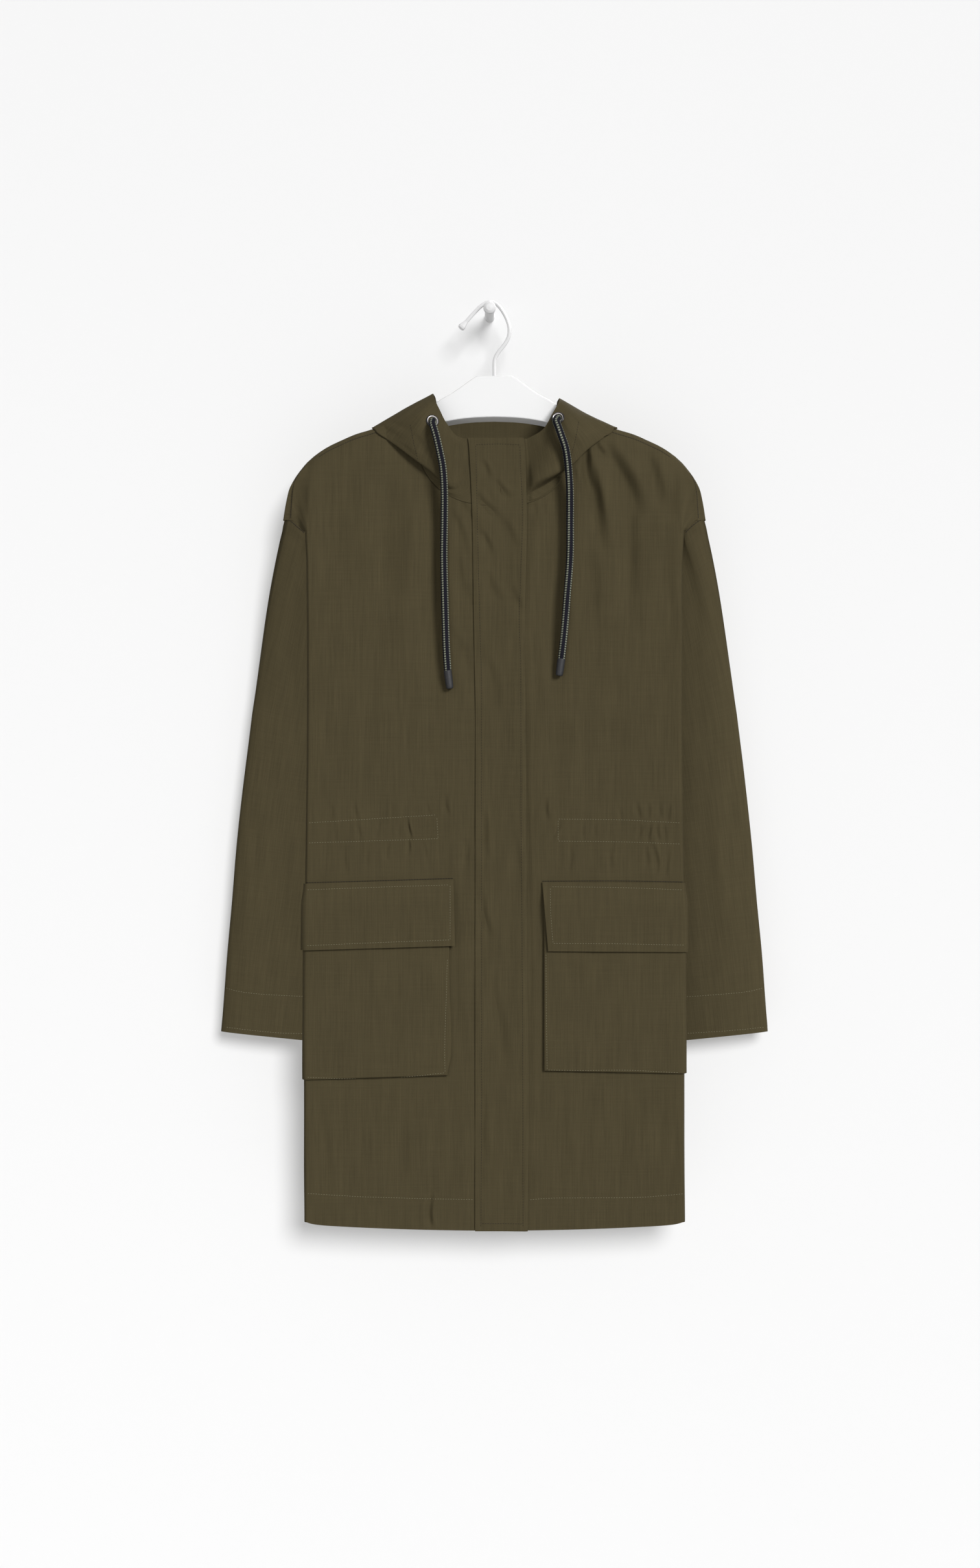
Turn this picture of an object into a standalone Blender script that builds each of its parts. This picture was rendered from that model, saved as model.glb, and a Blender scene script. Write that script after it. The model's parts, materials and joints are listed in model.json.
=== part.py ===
"""Hooded parka hanging flat on a plastic hanger, whose hook rests on a wall peg.

The wall is the plane y = 0 and the front faces -Y. The origin is the middle of the peg's back face.
Sizes are in millimetres, and MM turns them into metres. "Out" is the distance from the wall, and x is
measured from the garment's middle line. Left and right are as seen from the front.
"""

from collections import namedtuple
from math import cos, exp, hypot, pi, sin

import bmesh
import bpy
from mathutils import Vector

MM = 0.001

# Driving sizes of the cloth
CLOTH = 1.5
DOUBLE_CLOTH = 2.0
SEAM_GAP = 0.3
LAID_GAP = 0.4
GARMENT_X = 5.4
CENTRE_FRONT = 7.0

# Body: the fold at each side of the front, the side seam behind it, and the hem
Level = namedtuple("Level", "z half_width fold_radius front_out back_out")
LEVELS = (
    Level(-1030, 212.0, 11.5, 85.0, 52.0),
    Level(-850, 212.0, 11.5, 86.5, 51.0),
    Level(-640, 211.0, 11.5, 87.0, 50.0),
    Level(-450, 209.0, 11.5, 87.0, 48.0),
    Level(-370, 209.0, 11.0, 86.0, 46.0),
    Level(-290, 209.5, 10.0, 84.0, 43.0),
    Level(-250, 211.0, 9.0, 82.5, 42.0),
    Level(-215, 211.0, 6.0, 80.5, 41.0),
    Level(-180, 211.5, 3.0, 79.0, 41.0),
    Level(-110, 211.5, 2.5, 76.0, 41.0),
)
SIDE_SEAM_X = 142.0
UNDERARM_Z = -400.0
HEM_MIDDLE_Z = -1029.0
HEM_RISE = 10.0
BACK_HEM_Z = -1018.0

# Shoulder: the ridge over the hanger, and the seam a little in front of it
Ridge = namedtuple("Ridge", "x z")
RIDGE = (
    Ridge(0, -74),
    Ridge(60, -101),
    Ridge(90, -117),
    Ridge(137, -136.5),
    Ridge(171, -147.5),
    Ridge(187, -155),
    Ridge(203, -166),
    Ridge(209, -171.5),
)
RIDGE_OUT = 56.0
SEAM_OUT = 69.0
SEAM_DROP = 5.0
SHOULDER_FALL = 14.0

# The back's way over the ridge, from behind the hanger to the seam: out, and drop below the ridge
Wrap = namedtuple("Wrap", "out drop")
WRAPS = (
    Wrap(41.0, 8.0),
    Wrap(42.6, 2.8),
    Wrap(48.5, 0.3),
    Wrap(57.0, 0.0),
    Wrap(64.0, 0.9),
    Wrap(67.5, 3.5),
)
NECK_X = 90.0
TIP_X = 209.0

# Dropped shoulder beyond the hanger: its outline, and the seam over the arm inside it
Drop = namedtuple("Drop", "z outline_x seam_x")
DROPS = (
    Drop(-238.0, 236.0, 226.5),
    Drop(-220.0, 233.0, 225.5),
    Drop(-199.0, 227.5, 223.5),
    Drop(-187.5, 221.0, 218.5),
    Drop(-176.5, 211.5, 209.0),
)
ARMHOLE_FOLD_Z = -251.0
CAP_EDGE_OUT = 65.0

# Neck
FRONT_NECK_Z = -223.0
BACK_NECK_Z = -150.0
NECK_ROUNDNESS = 0.77

# Large soft folds of the fronts: a trough between two points
Fold = namedtuple("Fold", "top_x top_z bottom_x bottom_z depth width")
FOLDS = (
    Fold(109, -158, 118, -250, 3.0, 9.0),
    Fold(172, -158, 200, -245, 3.0, 9.0),
    Fold(146, -185, 151, -330, 3.5, 15.0),
    Fold(62, -240, 66, -420, 2.0, 14.0),
    Fold(-118, -165, -126, -340, 2.0, 14.0),
    Fold(-170, -180, -186, -320, 2.0, 12.0),
)

# Sleeves below the armhole: outer and inner edge, half thickness, and how much lower the inner edge is
Arm = namedtuple("Arm", "z outer_x inner_x half_depth drop")
ARMS = (
    Arm(-807, 308.5, 173, 12.0, 15),
    Arm(-789, 307.0, 171, 12.0, 15.5),
    Arm(-726, 302.4, 161, 12.5, 17),
    Arm(-660, 296.2, 150, 13.0, 20),
    Arm(-600, 291.0, 140, 13.5, 24),
    Arm(-525, 283.0, 128, 14.0, 30),
    Arm(-452, 273.8, 117, 14.0, 38),
)
ARM_OUT = 32.0
ARM_SQUARENESS = 0.78
ARM_CURVE = 3.6

# Hood stations from the centre front round the neck to the centre back. seam is the place along the
# neck edge: 0 centre front, 1 shoulder, 2 centre back. The cloth goes from the seam to the crest, to
# the roll where it turns, and to the rim of the face opening.
Station = namedtuple(
    "Station",
    "seam crest_x crest_z crest_out roll_x roll_z roll_out rim_x rim_z rim_out bulge",
)
HOOD = (
    Station(0.00, -7, -204, 82, -7, -186, 81.5, -7, -149, 79, 0),
    Station(0.36, 36, -204, 82, 36, -186, 81.5, 36, -147, 79, 0),
    Station(0.56, 55, -200, 85, 58, -188, 90, 52, -133, 83, 3),
    Station(0.72, 72, -184, 86, 82, -173, 91, 61, -116, 82, 5),
    Station(0.86, 92, -162, 85, 107, -156, 88, 66.5, -104, 76, 6),
    Station(1.00, 114, -124, 68, 136, -134.5, 65, 68, -99, 62, 4),
    Station(1.12, 108, -120.5, 52, 134, -133.5, 50, 66, -100.5, 51, 2),
    Station(1.25, 100, -124, 36, 128, -162, 28, 61, -105, 40, -1),
    Station(1.48, 66, -125, 33, 110, -262, 20, 47, -118, 28, -5),
    Station(1.74, 34, -124, 32, 66, -338, 17, 25, -140, 15, -4),
    Station(2.00, 0.4, -124, 32, 0.4, -360, 16, 0.4, -156, 9, -4),
)
HOOD_LIES = 1.6
ROUND_OUT = 51.0
ROUND = 10.0
ROUND_LIES = 14.2
HOOD_RIGHT_RIM_DROP = 5.0
NECK_MIDDLE_Z = -95.0
OVER_RIDGE = 1.22

# Storm flap: both edges at some heights
Edge = namedtuple("Edge", "z left_x right_x")
FLAP = (
    Edge(-1029.5, -21.5, 37.0),
    Edge(-880, -21.3, 38.0),
    Edge(-700, -21.2, 36.0),
    Edge(-460, -21.0, 34.5),
    Edge(-370, -22.5, 33.5),
    Edge(-240, -24.5, 36.0),
    Edge(-161, -28.0, 34.2),
    Edge(-147, -29.5, 32.5),
)
FLAP_LIFT = 0.6

# Pockets and their flaps, by the distance from the middle line
Pocket = namedtuple("Pocket", "side inner_top inner_low top_z low_z low_rise")
POCKETS = (
    Pocket(-1, 50.5, 53.0, -668, -860, 5),
    Pocket(1, 56.0, 56.0, -668, -853, 3),
)
POCKET_MOUTH = 7.0
POCKET_DEPTH = 9.0
POCKET_SIDE = 3.0
GUSSET = 1.2
Cover = namedtuple("Cover", "side inner_top inner_low top_z low_z outer_drop")
COVERS = (
    Cover(-1, 45.5, 43.7, -640, -712, 5),
    Cover(1, 53.0, 59.5, -642, -718, 1),
)
COVER_RISE = 26.0
SIDE_TURN = 0.9

# Eyelets and drawcords
EYELET_RADIUS = 7.3
EYELET_BORE = 4.9
EYELET_HEIGHT = 1.6
EYELETS = {"left": (-69.6, -129.4), "right": (69.6, -126.5)}
CORD_RADIUS = 4.2
CORD_TIP_RADIUS = 4.4
CORD_STEP = 20.0
CORD_ROUTES = {
    "left": (
        (-68.4, 96.5, -134.0),
        (-66.6, 100.5, -140.5),
        (-64.0, 101.5, -150.0),
        (-60.4, 99.5, -166.0),
        (-57.2, 97.0, -183.0),
        (-55.7, 93.0, -208.0),
        (-55.8, 89.2, -240.0),
        (-56.3, 89.0, -281.0),
        (-55.0, 90.1, -335.0),
        (-53.6, 90.9, -380.0),
        (-51.9, 91.3, -407.8),
    ),
    "right": (
        (68.4, 95.1, -131.0),
        (70.4, 99.7, -137.5),
        (73.6, 101.6, -147.0),
        (78.4, 100.2, -161.0),
        (81.2, 97.2, -178.0),
        (83.3, 92.6, -204.0),
        (83.7, 89.0, -240.0),
        (83.5, 89.0, -281.0),
        (80.0, 90.0, -330.0),
        (77.0, 90.7, -368.0),
        (74.1, 91.1, -394.6),
    ),
}
CORD_TIPS = {"left": (2.4, 0.1, -18.3), "right": (-2.4, 0.1, -17.2)}

# Hanger, hook and peg
HANGER_DEPTH = 22.0
HANGER_ROUND = 5.5
HANGER_CLEAR = 2.6
HANGER_END_X = 203.0
Arch = namedtuple("Arch", "x top low")
ARCH = (
    Arch(0, -76, -122),
    Arch(22, -76, -122.6),
    Arch(35, -86, -124),
    Arch(48, -96, -126),
    Arch(62, -103.6, -129),
    Arch(90, -119.6, -138),
    Arch(150, -143.5, -161),
    Arch(203, -168.6, -188),
)
HOOK_RADIUS = 2.15
HOOK_TIP_RADIUS = 4.3
HOOK = (
    (-35.6, -18.8),
    (-27.6, -9.4),
    (-20.3, -1.4),
    (-13.0, 5.2),
    (-5.4, 8.0),
    (3.0, 5.4),
    (9.6, -2.6),
    (14.4, -12.0),
    (16.9, -21.5),
    (16.0, -31.0),
    (11.6, -39.2),
    (5.6, -46.6),
    (1.2, -54.0),
    (0.0, -61.0),
    (0.0, -68.0),
    (0.0, -75.5),
)
PEG_RADIUS = 5.5
PEG_HEAD_RADIUS = 7.0
PEG_HEAD_OUT = 62.0
PEG_LENGTH = 71.0

OLIVE = (0.075, 0.062, 0.031, 1)
NAVY = (0.018, 0.018, 0.028, 1)
BLACK = (0.01, 0.01, 0.011, 1)
STEEL = (0.3, 0.29, 0.27, 1)
WHITE = (0.8, 0.79, 0.77, 1)


# Curves through tables


def smooth(xs, ys, x):
    """Cubic through the points, without overshoot and flat beyond the ends; xs rise."""
    x = min(max(x, xs[0]), xs[-1])
    steps = [(ys[i + 1] - ys[i]) / (xs[i + 1] - xs[i]) for i in range(len(xs) - 1)]
    slopes = [steps[0]]
    for before, after in zip(steps, steps[1:]):
        rising = before * after > 0
        slopes.append(2 * before * after / (before + after) if rising else 0.0)
    slopes.append(steps[-1])
    i = max(j for j in range(len(steps)) if xs[j] <= x)
    width = xs[i + 1] - xs[i]
    t = (x - xs[i]) / width
    return (
        ys[i] * (1 + 2 * t) * (1 - t) ** 2
        + slopes[i] * width * t * (1 - t) ** 2
        + ys[i + 1] * t * t * (3 - 2 * t)
        + slopes[i + 1] * width * t * t * (t - 1)
    )


def column(table, key, name, at):
    """One column of a table, at a value of its key column."""
    return smooth([getattr(row, key) for row in table], [getattr(row, name) for row in table], at)


def mix(a, b, share):
    return a + (b - a) * share


def ease(low, high, x):
    """0 below low, 1 above high, and a soft step between."""
    t = min(max((x - low) / (high - low), 0.0), 1.0)
    return t * t * (3 - 2 * t)


def spline(points, at):
    """A point of the smooth curve through the points, at 0 for the first and n - 1 for the last."""
    i = min(int(at), len(points) - 2)
    t = at - i
    p1, p2 = points[i], points[i + 1]
    p0 = points[i - 1] if i else p1 + (p1 - p2)
    p3 = points[i + 2] if i + 2 < len(points) else p2 + (p2 - p1)
    return 0.5 * (
        2 * p1
        + (p2 - p0) * t
        + (2 * p0 - 5 * p1 + 4 * p2 - p3) * t * t
        + (3 * p1 - p0 - 3 * p2 + p3) * t**3
    )


def walk(points, share):
    """The point at a share of the length of a line of points."""
    lengths = [(b - a).length for a, b in zip(points, points[1:])]
    left = share * sum(lengths)
    for a, b, length in zip(points, points[1:], lengths):
        if left <= length:
            return a.lerp(b, left / length)
        left -= length
    return points[-1].copy()


def shares(points):
    """Each point's share of the length of a line of points."""
    lengths = [0.0]
    for a, b in zip(points, points[1:]):
        lengths.append(lengths[-1] + (b - a).length)
    return [length / lengths[-1] for length in lengths]


# Surfaces of the body


def level(z, name):
    return column(LEVELS, "z", name, z)


def ridge_z(x):
    return column(RIDGE, "x", "z", abs(x))


def folds_in(x, z):
    """How deep the soft folds of the fronts are here."""
    total = 0.0
    for fold in FOLDS:
        along = (fold.top_z - z) / (fold.top_z - fold.bottom_z)
        if 0 < along < 1:
            away = (x - mix(fold.top_x, fold.bottom_x, along)) / fold.width
            total += fold.depth * sin(pi * along) * exp(-away * away)
    return total


def front_out(x, z):
    """Distance of the front's outer face from the wall."""
    drop = max(ridge_z(x) - SEAM_DROP - z, 0.0)
    full = level(z, "front_out")
    return mix(SEAM_OUT, full, 1 - exp(-drop / SHOULDER_FALL)) - folds_in(x, z)


def front_point(side, s, z, lift=0.0):
    """Point of a front at the distance s from the middle line, round the side fold and behind it."""
    radius = level(z, "fold_radius")
    start = level(z, "half_width") - radius
    if s <= start:
        return Vector((side * s, -front_out(side * s, z) - lift, z))
    out = front_out(side * start, z)
    turn = (s - start) / radius
    if turn <= pi:
        reach = radius + lift
        return Vector((side * (start + reach * sin(turn)), radius - out - reach * cos(turn), z))
    behind = s - start - pi * radius
    return Vector((side * (start - behind), 2 * radius - out + lift, z))


def hem_z(s):
    """Lower edge of the fronts, with a small rounding at the side fold."""
    share = abs(s) / 212
    return HEM_MIDDLE_Z + HEM_RISE * (0.6 * share**2 + 0.4 * share**8)


def back_out(x, z):
    """Distance of the back's outer face from the wall; it comes forward to the side seams."""
    middle = level(z, "back_out")
    seam = level(z, "front_out") - 2 * level(z, "fold_radius")
    to_seam = ease(60, SIDE_SEAM_X, abs(x)) * (1 - ease(UNDERARM_Z, UNDERARM_Z + 60, z))
    return mix(middle, seam, to_seam)


# Edges that pieces share, as counts of columns and rows that neighbours have in common

FRONT_NECK = 6
BACK_NECK = 4
SHOULDER = 6
OVER_ARM = 6
CAP_ROWS = 4
ARMHOLE_ROWS = 5
LOWER_ROWS = 11
BACK_ARM_ROWS = 4
BACK_HALF = BACK_NECK + SHOULDER + OVER_ARM
BACK_ROWS = LOWER_ROWS + BACK_ARM_ROWS
NECK_SHARE = BACK_NECK / BACK_HALF
TIP_SHARE = (BACK_NECK + SHOULDER) / BACK_HALF
UNDERARM_SHARE = LOWER_ROWS / BACK_ROWS
TAIL_SHARES = (0, 0.096, 0.192, 0.288, 0.384, 0.69, 1)


def start_s(z):
    return level(z, "half_width") - level(z, "fold_radius")


TIP_Z = ridge_z(TIP_X) - SEAM_DROP
FOLD_HEM_Z = hem_z(start_s(HEM_MIDDLE_Z))


def front_neck(side, share):
    """Front neck edge from the centre front, at 0, to the shoulder, at 1: s and z."""
    first = side * CENTRE_FRONT + SEAM_GAP / 2
    turn = share * pi / 2
    top = ridge_z(NECK_X) - SEAM_DROP
    s = mix(first, NECK_X, sin(turn) ** NECK_ROUNDNESS)
    return s, mix(top, FRONT_NECK_Z, cos(turn) ** NECK_ROUNDNESS)


def over_arm(share):
    """Seam over the arm from the hanger's tip, at 0, to the armhole, at 1: x, out and z."""
    z = mix(TIP_Z, DROPS[0].z, share)
    return column(DROPS, "z", "seam_x", z), mix(SEAM_OUT, CAP_EDGE_OUT, share), z


def cap_edge(side, share):
    """Front armhole edge from the seam over the arm, at 0, to the side fold, at 1."""
    x, out, z = over_arm(1.0)
    quarter = level(ARMHOLE_FOLD_Z, "fold_radius") * pi / 2
    fold = front_point(side, start_s(ARMHOLE_FOLD_Z) + quarter, ARMHOLE_FOLD_Z)
    edge_z = mix(z, ARMHOLE_FOLD_Z, ease(0, 1, share))
    return Vector((mix(side * x, fold.x, share), mix(-out, fold.y, share), edge_z))


def front_row_end(side, z):
    """Last point of a front's row: on the armhole edge, or on the side seam below the underarm."""
    radius = level(z, "fold_radius")
    wrapped = min((ARMHOLE_FOLD_Z - z) / (ARMHOLE_FOLD_Z - UNDERARM_Z), 1.0)
    whole = pi * radius + start_s(z) - SIDE_SEAM_X - SEAM_GAP / 2
    return mix(pi * radius / 2, whole, wrapped)


def shoulder_wrap(x):
    return [Vector((x, -wrap.out, ridge_z(x) - wrap.drop)) for wrap in WRAPS]


def ridge_wrap(h):
    """Back's upper end at a share h from the centre to the armhole: its points over the ridge."""
    if h < NECK_SHARE:
        top = shoulder_wrap(NECK_X)[0]
        share = h / NECK_SHARE
        return [Vector((NECK_X * share, top.y, mix(BACK_NECK_Z, top.z, ease(0.1, 1.1, share))))]
    if h <= TIP_SHARE:
        return shoulder_wrap(mix(NECK_X, TIP_X, (h - NECK_SHARE) / (TIP_SHARE - NECK_SHARE)))
    share = (h - TIP_SHARE) / (1 - TIP_SHARE)
    seam_x, out, z = over_arm(share)
    outline = Vector((column(DROPS, "z", "outline_x", z), -RIDGE_OUT, z + 3 * (1 - share)))
    behind = outline + Vector((mix(-1, -8, share), mix(15, 6, share), mix(-8, -4, share)))
    seam = Vector((seam_x + 1.6, 1.6 - out, z + 1.2 * (1 - share)))
    last = len(WRAPS) - 1
    cap = [spline([behind, outline, seam], 2 * k / last) for k in range(last + 1)]
    start = shoulder_wrap(TIP_X)
    return [a.lerp(b, ease(0, 0.5, share)) for a, b in zip(start, cap)]


def back_side(share):
    """Back's edge from the hem up the side seam, and along the armhole to its top: x and z."""
    if share < UNDERARM_SHARE:
        return SIDE_SEAM_X - SEAM_GAP / 2, mix(BACK_HEM_Z, UNDERARM_Z, share / UNDERARM_SHARE)
    top = ridge_wrap(1.0)[0]
    along = (share - UNDERARM_SHARE) / (1 - UNDERARM_SHARE)
    return mix(SIDE_SEAM_X, top.x, along), mix(UNDERARM_Z, top.z, along)


def back_point(side, h, share):
    """Point of the back below its ridge: h from the centre to the side, share from the hem up."""
    top = ridge_wrap(h)[0]
    corner = ridge_wrap(1.0)[0]
    edge_x, edge_z = back_side(share)
    x = edge_x * mix(h, top.x / corner.x, ease(UNDERARM_SHARE - 0.2, 1.0, share))
    z = mix(BACK_HEM_Z, top.z, share) + h**4 * (edge_z - mix(BACK_HEM_Z, corner.z, share))
    out = mix(back_out(x, z), -top.y, ease(0.8, 1.0, share))
    return Vector((side * x, -out, z))


# Making objects


def material(name, colour, roughness, metallic=0.0):
    made = bpy.data.materials.new(name)
    made.use_nodes = True
    shader = made.node_tree.nodes["Principled BSDF"]
    shader.inputs["Base Color"].default_value = colour
    shader.inputs["Roughness"].default_value = roughness
    shader.inputs["Metallic"].default_value = metallic
    return made


def keep(name, data, finish, holder):
    """A named object of the parka, held by the garment's empty or by nothing."""
    data.materials.clear()
    data.materials.append(material(name, *finish))
    made = bpy.data.objects.new(name, data)
    bpy.data.collections["parka"].objects.link(made)
    made.parent = holder
    return made


def cloth(name, columns, rows, place, holder, wall=CLOTH, flip=False, closed=False):
    """A sheet of columns by rows; place gives each corner's point, or None outside the cut."""
    bm = bmesh.new()
    bmesh.ops.create_grid(bm, x_segments=columns, y_segments=rows, size=0.5)
    spare = []
    for corner in bm.verts:
        i = round((corner.co.x + 0.5) * columns)
        j = round((corner.co.y + 0.5) * rows)
        point = place(i, j)
        if point is None:
            spare.append(corner)
        else:
            corner.co = point * MM
    bmesh.ops.delete(bm, geom=spare, context="VERTS")
    if closed:
        bmesh.ops.remove_doubles(bm, verts=bm.verts, dist=0.01 * MM)
    if flip:
        bmesh.ops.reverse_faces(bm, faces=bm.faces)
    mesh = bpy.data.meshes.new(name)
    bm.to_mesh(mesh)
    bm.free()
    mesh.shade_smooth()
    made = keep(name, mesh, (OLIVE, 0.8), holder)
    thick = made.modifiers.new("wall", "SOLIDIFY")
    thick.thickness = wall * MM
    thick.offset = -1
    return made


def turned(name, profile, finish, holder, steps=16):
    """A turned piece: the profile's radius and height, from the top down its outer side."""
    mesh = bpy.data.meshes.new(name)
    points = [(radius * MM, 0, height * MM) for radius, height in profile]
    closed = profile[0][0] > 0
    edges = [(i, i + 1) for i in range(len(points) - 1)] + [(len(points) - 1, 0)] * closed
    mesh.from_pydata(points, edges, [])
    made = keep(name, mesh, finish, holder)
    screw = made.modifiers.new("turn", "SCREW")
    screw.steps = screw.render_steps = steps
    screw.use_merge_vertices = True
    screw.merge_threshold = 0.00001
    return made


def tube(name, points, radius, finish, holder, swell=None):
    """A round tube along the points, with a filled cap at each end."""
    curve = bpy.data.curves.new(name, "CURVE")
    curve.dimensions = "3D"
    curve.bevel_depth = radius * MM
    curve.bevel_resolution = 2
    curve.use_fill_caps = True
    line = curve.splines.new("POLY")
    line.points.add(len(points) - 1)
    for i, point in enumerate(points):
        line.points[i].co = (*(point * MM), 1)
        line.points[i].radius = swell(i) if swell else 1.0
    return keep(name, curve, finish, holder)


# Pieces of the parka


def front_rows():
    """Heights of a front's rows at the side fold, from the hem up."""
    lower = [mix(FOLD_HEM_Z, UNDERARM_Z, i / LOWER_ROWS) for i in range(LOWER_ROWS)]
    armhole = [mix(UNDERARM_Z, ARMHOLE_FOLD_Z, i / ARMHOLE_ROWS) for i in range(ARMHOLE_ROWS)]
    cap = [mix(ARMHOLE_FOLD_Z, TIP_Z, i / CAP_ROWS) for i in range(CAP_ROWS + 1)]
    return lower + armhole + cap


def front(side, name, holder):
    """A front with its dropped shoulder; it turns behind at the side fold, to the side seam."""
    rows = front_rows()
    first = side * CENTRE_FRONT + SEAM_GAP / 2
    main_columns = FRONT_NECK + SHOULDER

    def upper(i):
        if i <= FRONT_NECK:
            return front_neck(side, i / FRONT_NECK)
        s = mix(NECK_X, start_s(TIP_Z), (i - FRONT_NECK) / SHOULDER)
        return s, ridge_z(s) - SEAM_DROP

    def place(i, j):
        z = rows[j]
        share = (z - FOLD_HEM_Z) / (TIP_Z - FOLD_HEM_Z)
        if i <= main_columns:
            across = i / main_columns
            top_s, top_z = upper(i)
            low_s = mix(first, start_s(FOLD_HEM_Z), across)
            z = mix(hem_z(low_s), top_z, share)
            straight = mix(start_s(FOLD_HEM_Z), start_s(TIP_Z), share)
            s = mix(low_s, top_s, share) + across**4 * (start_s(z) - straight)
            return front_point(side, s, z)
        along = (i - main_columns) / OVER_ARM
        if z < ARMHOLE_FOLD_Z - 1e-6:
            tail = TAIL_SHARES[i - main_columns] * front_row_end(side, z)
            return front_point(side, start_s(z) + tail, z)
        down = (TIP_Z - z) / (TIP_Z - ARMHOLE_FOLD_Z)
        fold = front_point(side, start_s(z), z)
        tip = front_point(side, start_s(TIP_Z), TIP_Z)
        seam_x, out, seam_z = over_arm(along)
        last = cap_edge(side, down)
        bow = Vector((side * seam_x, 0, seam_z)) - tip.lerp(cap_edge(side, 0), along)
        point = fold.lerp(last, along) + (1 - down) * Vector((bow.x, 0, bow.z))
        point.y = mix(fold.y, last.y, along**0.6)
        return point

    cloth(name, main_columns + OVER_ARM, len(rows) - 1, place, holder, flip=side < 0)


def back(holder):
    """The back, over the shoulder ridge to the seams in front of it."""

    def place(i, j):
        side = 1 if i >= BACK_HALF else -1
        h = abs(i - BACK_HALF) / BACK_HALF
        if j <= BACK_ROWS:
            return back_point(side, h, j / BACK_ROWS)
        over = ridge_wrap(h)
        if len(over) == 1:
            return None
        point = over[j - BACK_ROWS]
        return Vector((side * point.x, point.y, point.z))

    cloth("back", 2 * BACK_HALF, BACK_ROWS + len(WRAPS) - 1, place, holder, flip=True)


def armhole(side):
    """The armhole's two edges, front and back, from the outline's point to the underarm."""
    top = [Vector((side * p.x, p.y, p.z)) for p in ridge_wrap(1.0)]
    fronts = top[2:] + [cap_edge(side, k / CAP_ROWS) for k in range(CAP_ROWS + 1)]
    fronts = [point + Vector((0, 0.6, -0.7)) for point in fronts]
    for k in range(1, ARMHOLE_ROWS + 1):
        share = k / ARMHOLE_ROWS
        z = mix(ARMHOLE_FOLD_Z, UNDERARM_Z, share)
        edge = front_point(side, start_s(z) + front_row_end(side, z), z)
        fronts.append(edge + Vector((0, 0.8 + 2.2 * share, -0.7 - 2 * share)))
    backs = [fronts[0]] + [point + Vector((0.3 * side, 0.2, -0.7)) for point in top[1:0:-1]]
    for k in range(BACK_ARM_ROWS):
        edge = back_point(side, 1.0, 1 - k / BACK_ROWS)
        backs.append(edge + Vector((0.5 * side, 0.3, -0.6)))
    return fronts, backs + [fronts[-1]]


ARM_TOP_ROWS = 5
ARM_LOW_ROWS = 8


def arm_ring(side, z, turn):
    """Point of a sleeve's ring: turn 0 outer edge, 90 degrees front, 180 inner edge."""
    arm = {name: column(ARMS, "z", name, z) for name in Arm._fields[1:]}
    across = abs(cos(turn)) ** ARM_SQUARENESS * (1 if cos(turn) > 0 else -1)
    deep = abs(sin(turn)) ** ARM_SQUARENESS * (1 if sin(turn) > 0 else -1)
    half = (arm["outer_x"] - arm["inner_x"]) / 2
    x = (arm["outer_x"] + arm["inner_x"]) / 2 + half * across
    lower = arm["drop"] * (1 - across) / 2
    return Vector((side * x, -ARM_OUT - arm["half_depth"] * deep, z - lower))


def sleeve(side, name, holder):
    """A sleeve from the armhole to its turned-up end."""
    fronts, backs = armhole(side)
    edges = fronts + backs[-2::-1]
    turns = [pi * share for share in shares(fronts)]
    turns += [2 * pi - pi * share for share in shares(backs)[-2::-1]]

    def place(i, j):
        turn = turns[i]
        if j <= ARM_LOW_ROWS:
            return arm_ring(side, mix(ARMS[0].z, ARMS[-1].z, j / ARM_LOW_ROWS), turn)
        ring = arm_ring(side, ARMS[-1].z, turn)
        up = (j - ARM_LOW_ROWS) / ARM_TOP_ROWS
        point = ring.lerp(edges[i], up)
        point.x += side * ARM_CURVE * sin(pi * up**1.3) * (1 + cos(turn)) / 2
        point.y = mix(ring.y, edges[i].y, up**1.6)
        return point

    around = len(turns) - 1
    cloth(name, around, ARM_LOW_ROWS + ARM_TOP_ROWS, place, holder, flip=side > 0, closed=True)


def neck_line(side):
    """Corners of the neck edge, a seam's gap inside it, from the centre front to the centre back."""
    line = []
    for k in range(FRONT_NECK + 1):
        share = k / FRONT_NECK
        point = front_point(side, *front_neck(side, share))
        inwards = Vector((-point.x, 0, NECK_MIDDLE_Z - point.z)).normalized()
        inwards = Vector((0, 0, 1)).lerp(inwards, ease(0, 0.4, share))
        line.append(point + LAID_GAP * (inwards - Vector((0, 4 * ease(0.4, 0.9, share), 0))))
    over = shoulder_wrap(NECK_X)[::-1]
    over += [ridge_wrap(NECK_SHARE * k / BACK_NECK)[0] for k in range(BACK_NECK - 1, -1, -1)]
    for point in over:
        line.append(Vector((side * max(point.x, LAID_GAP), point.y, point.z + LAID_GAP)))
    return line


# Where the corners of the neck edge are along the seam
NECK_SEAMS = [k / FRONT_NECK for k in range(FRONT_NECK)]
NECK_SEAMS += [0.999] + [mix(1, OVER_RIDGE, k / (len(WRAPS) - 1)) for k in range(len(WRAPS))]
NECK_SEAMS += [mix(OVER_RIDGE, 2, k / BACK_NECK) for k in range(1, BACK_NECK + 1)]


def between(knots, at):
    """The place of a value in a rising list of knots: 0 for the first, n - 1 for the last."""
    i = max(k for k in range(len(knots) - 1) if knots[k] <= at or k == 0)
    return i + (at - knots[i]) / (knots[i + 1] - knots[i])


def neck_edge(side, seam):
    """Point on the neck edge: 0 centre front, 1 shoulder, 2 centre back."""
    line = neck_line(side)
    at = between(NECK_SEAMS, seam)
    i = min(int(at), len(line) - 2)
    return line[i].lerp(line[i + 1], at - i)


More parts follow.
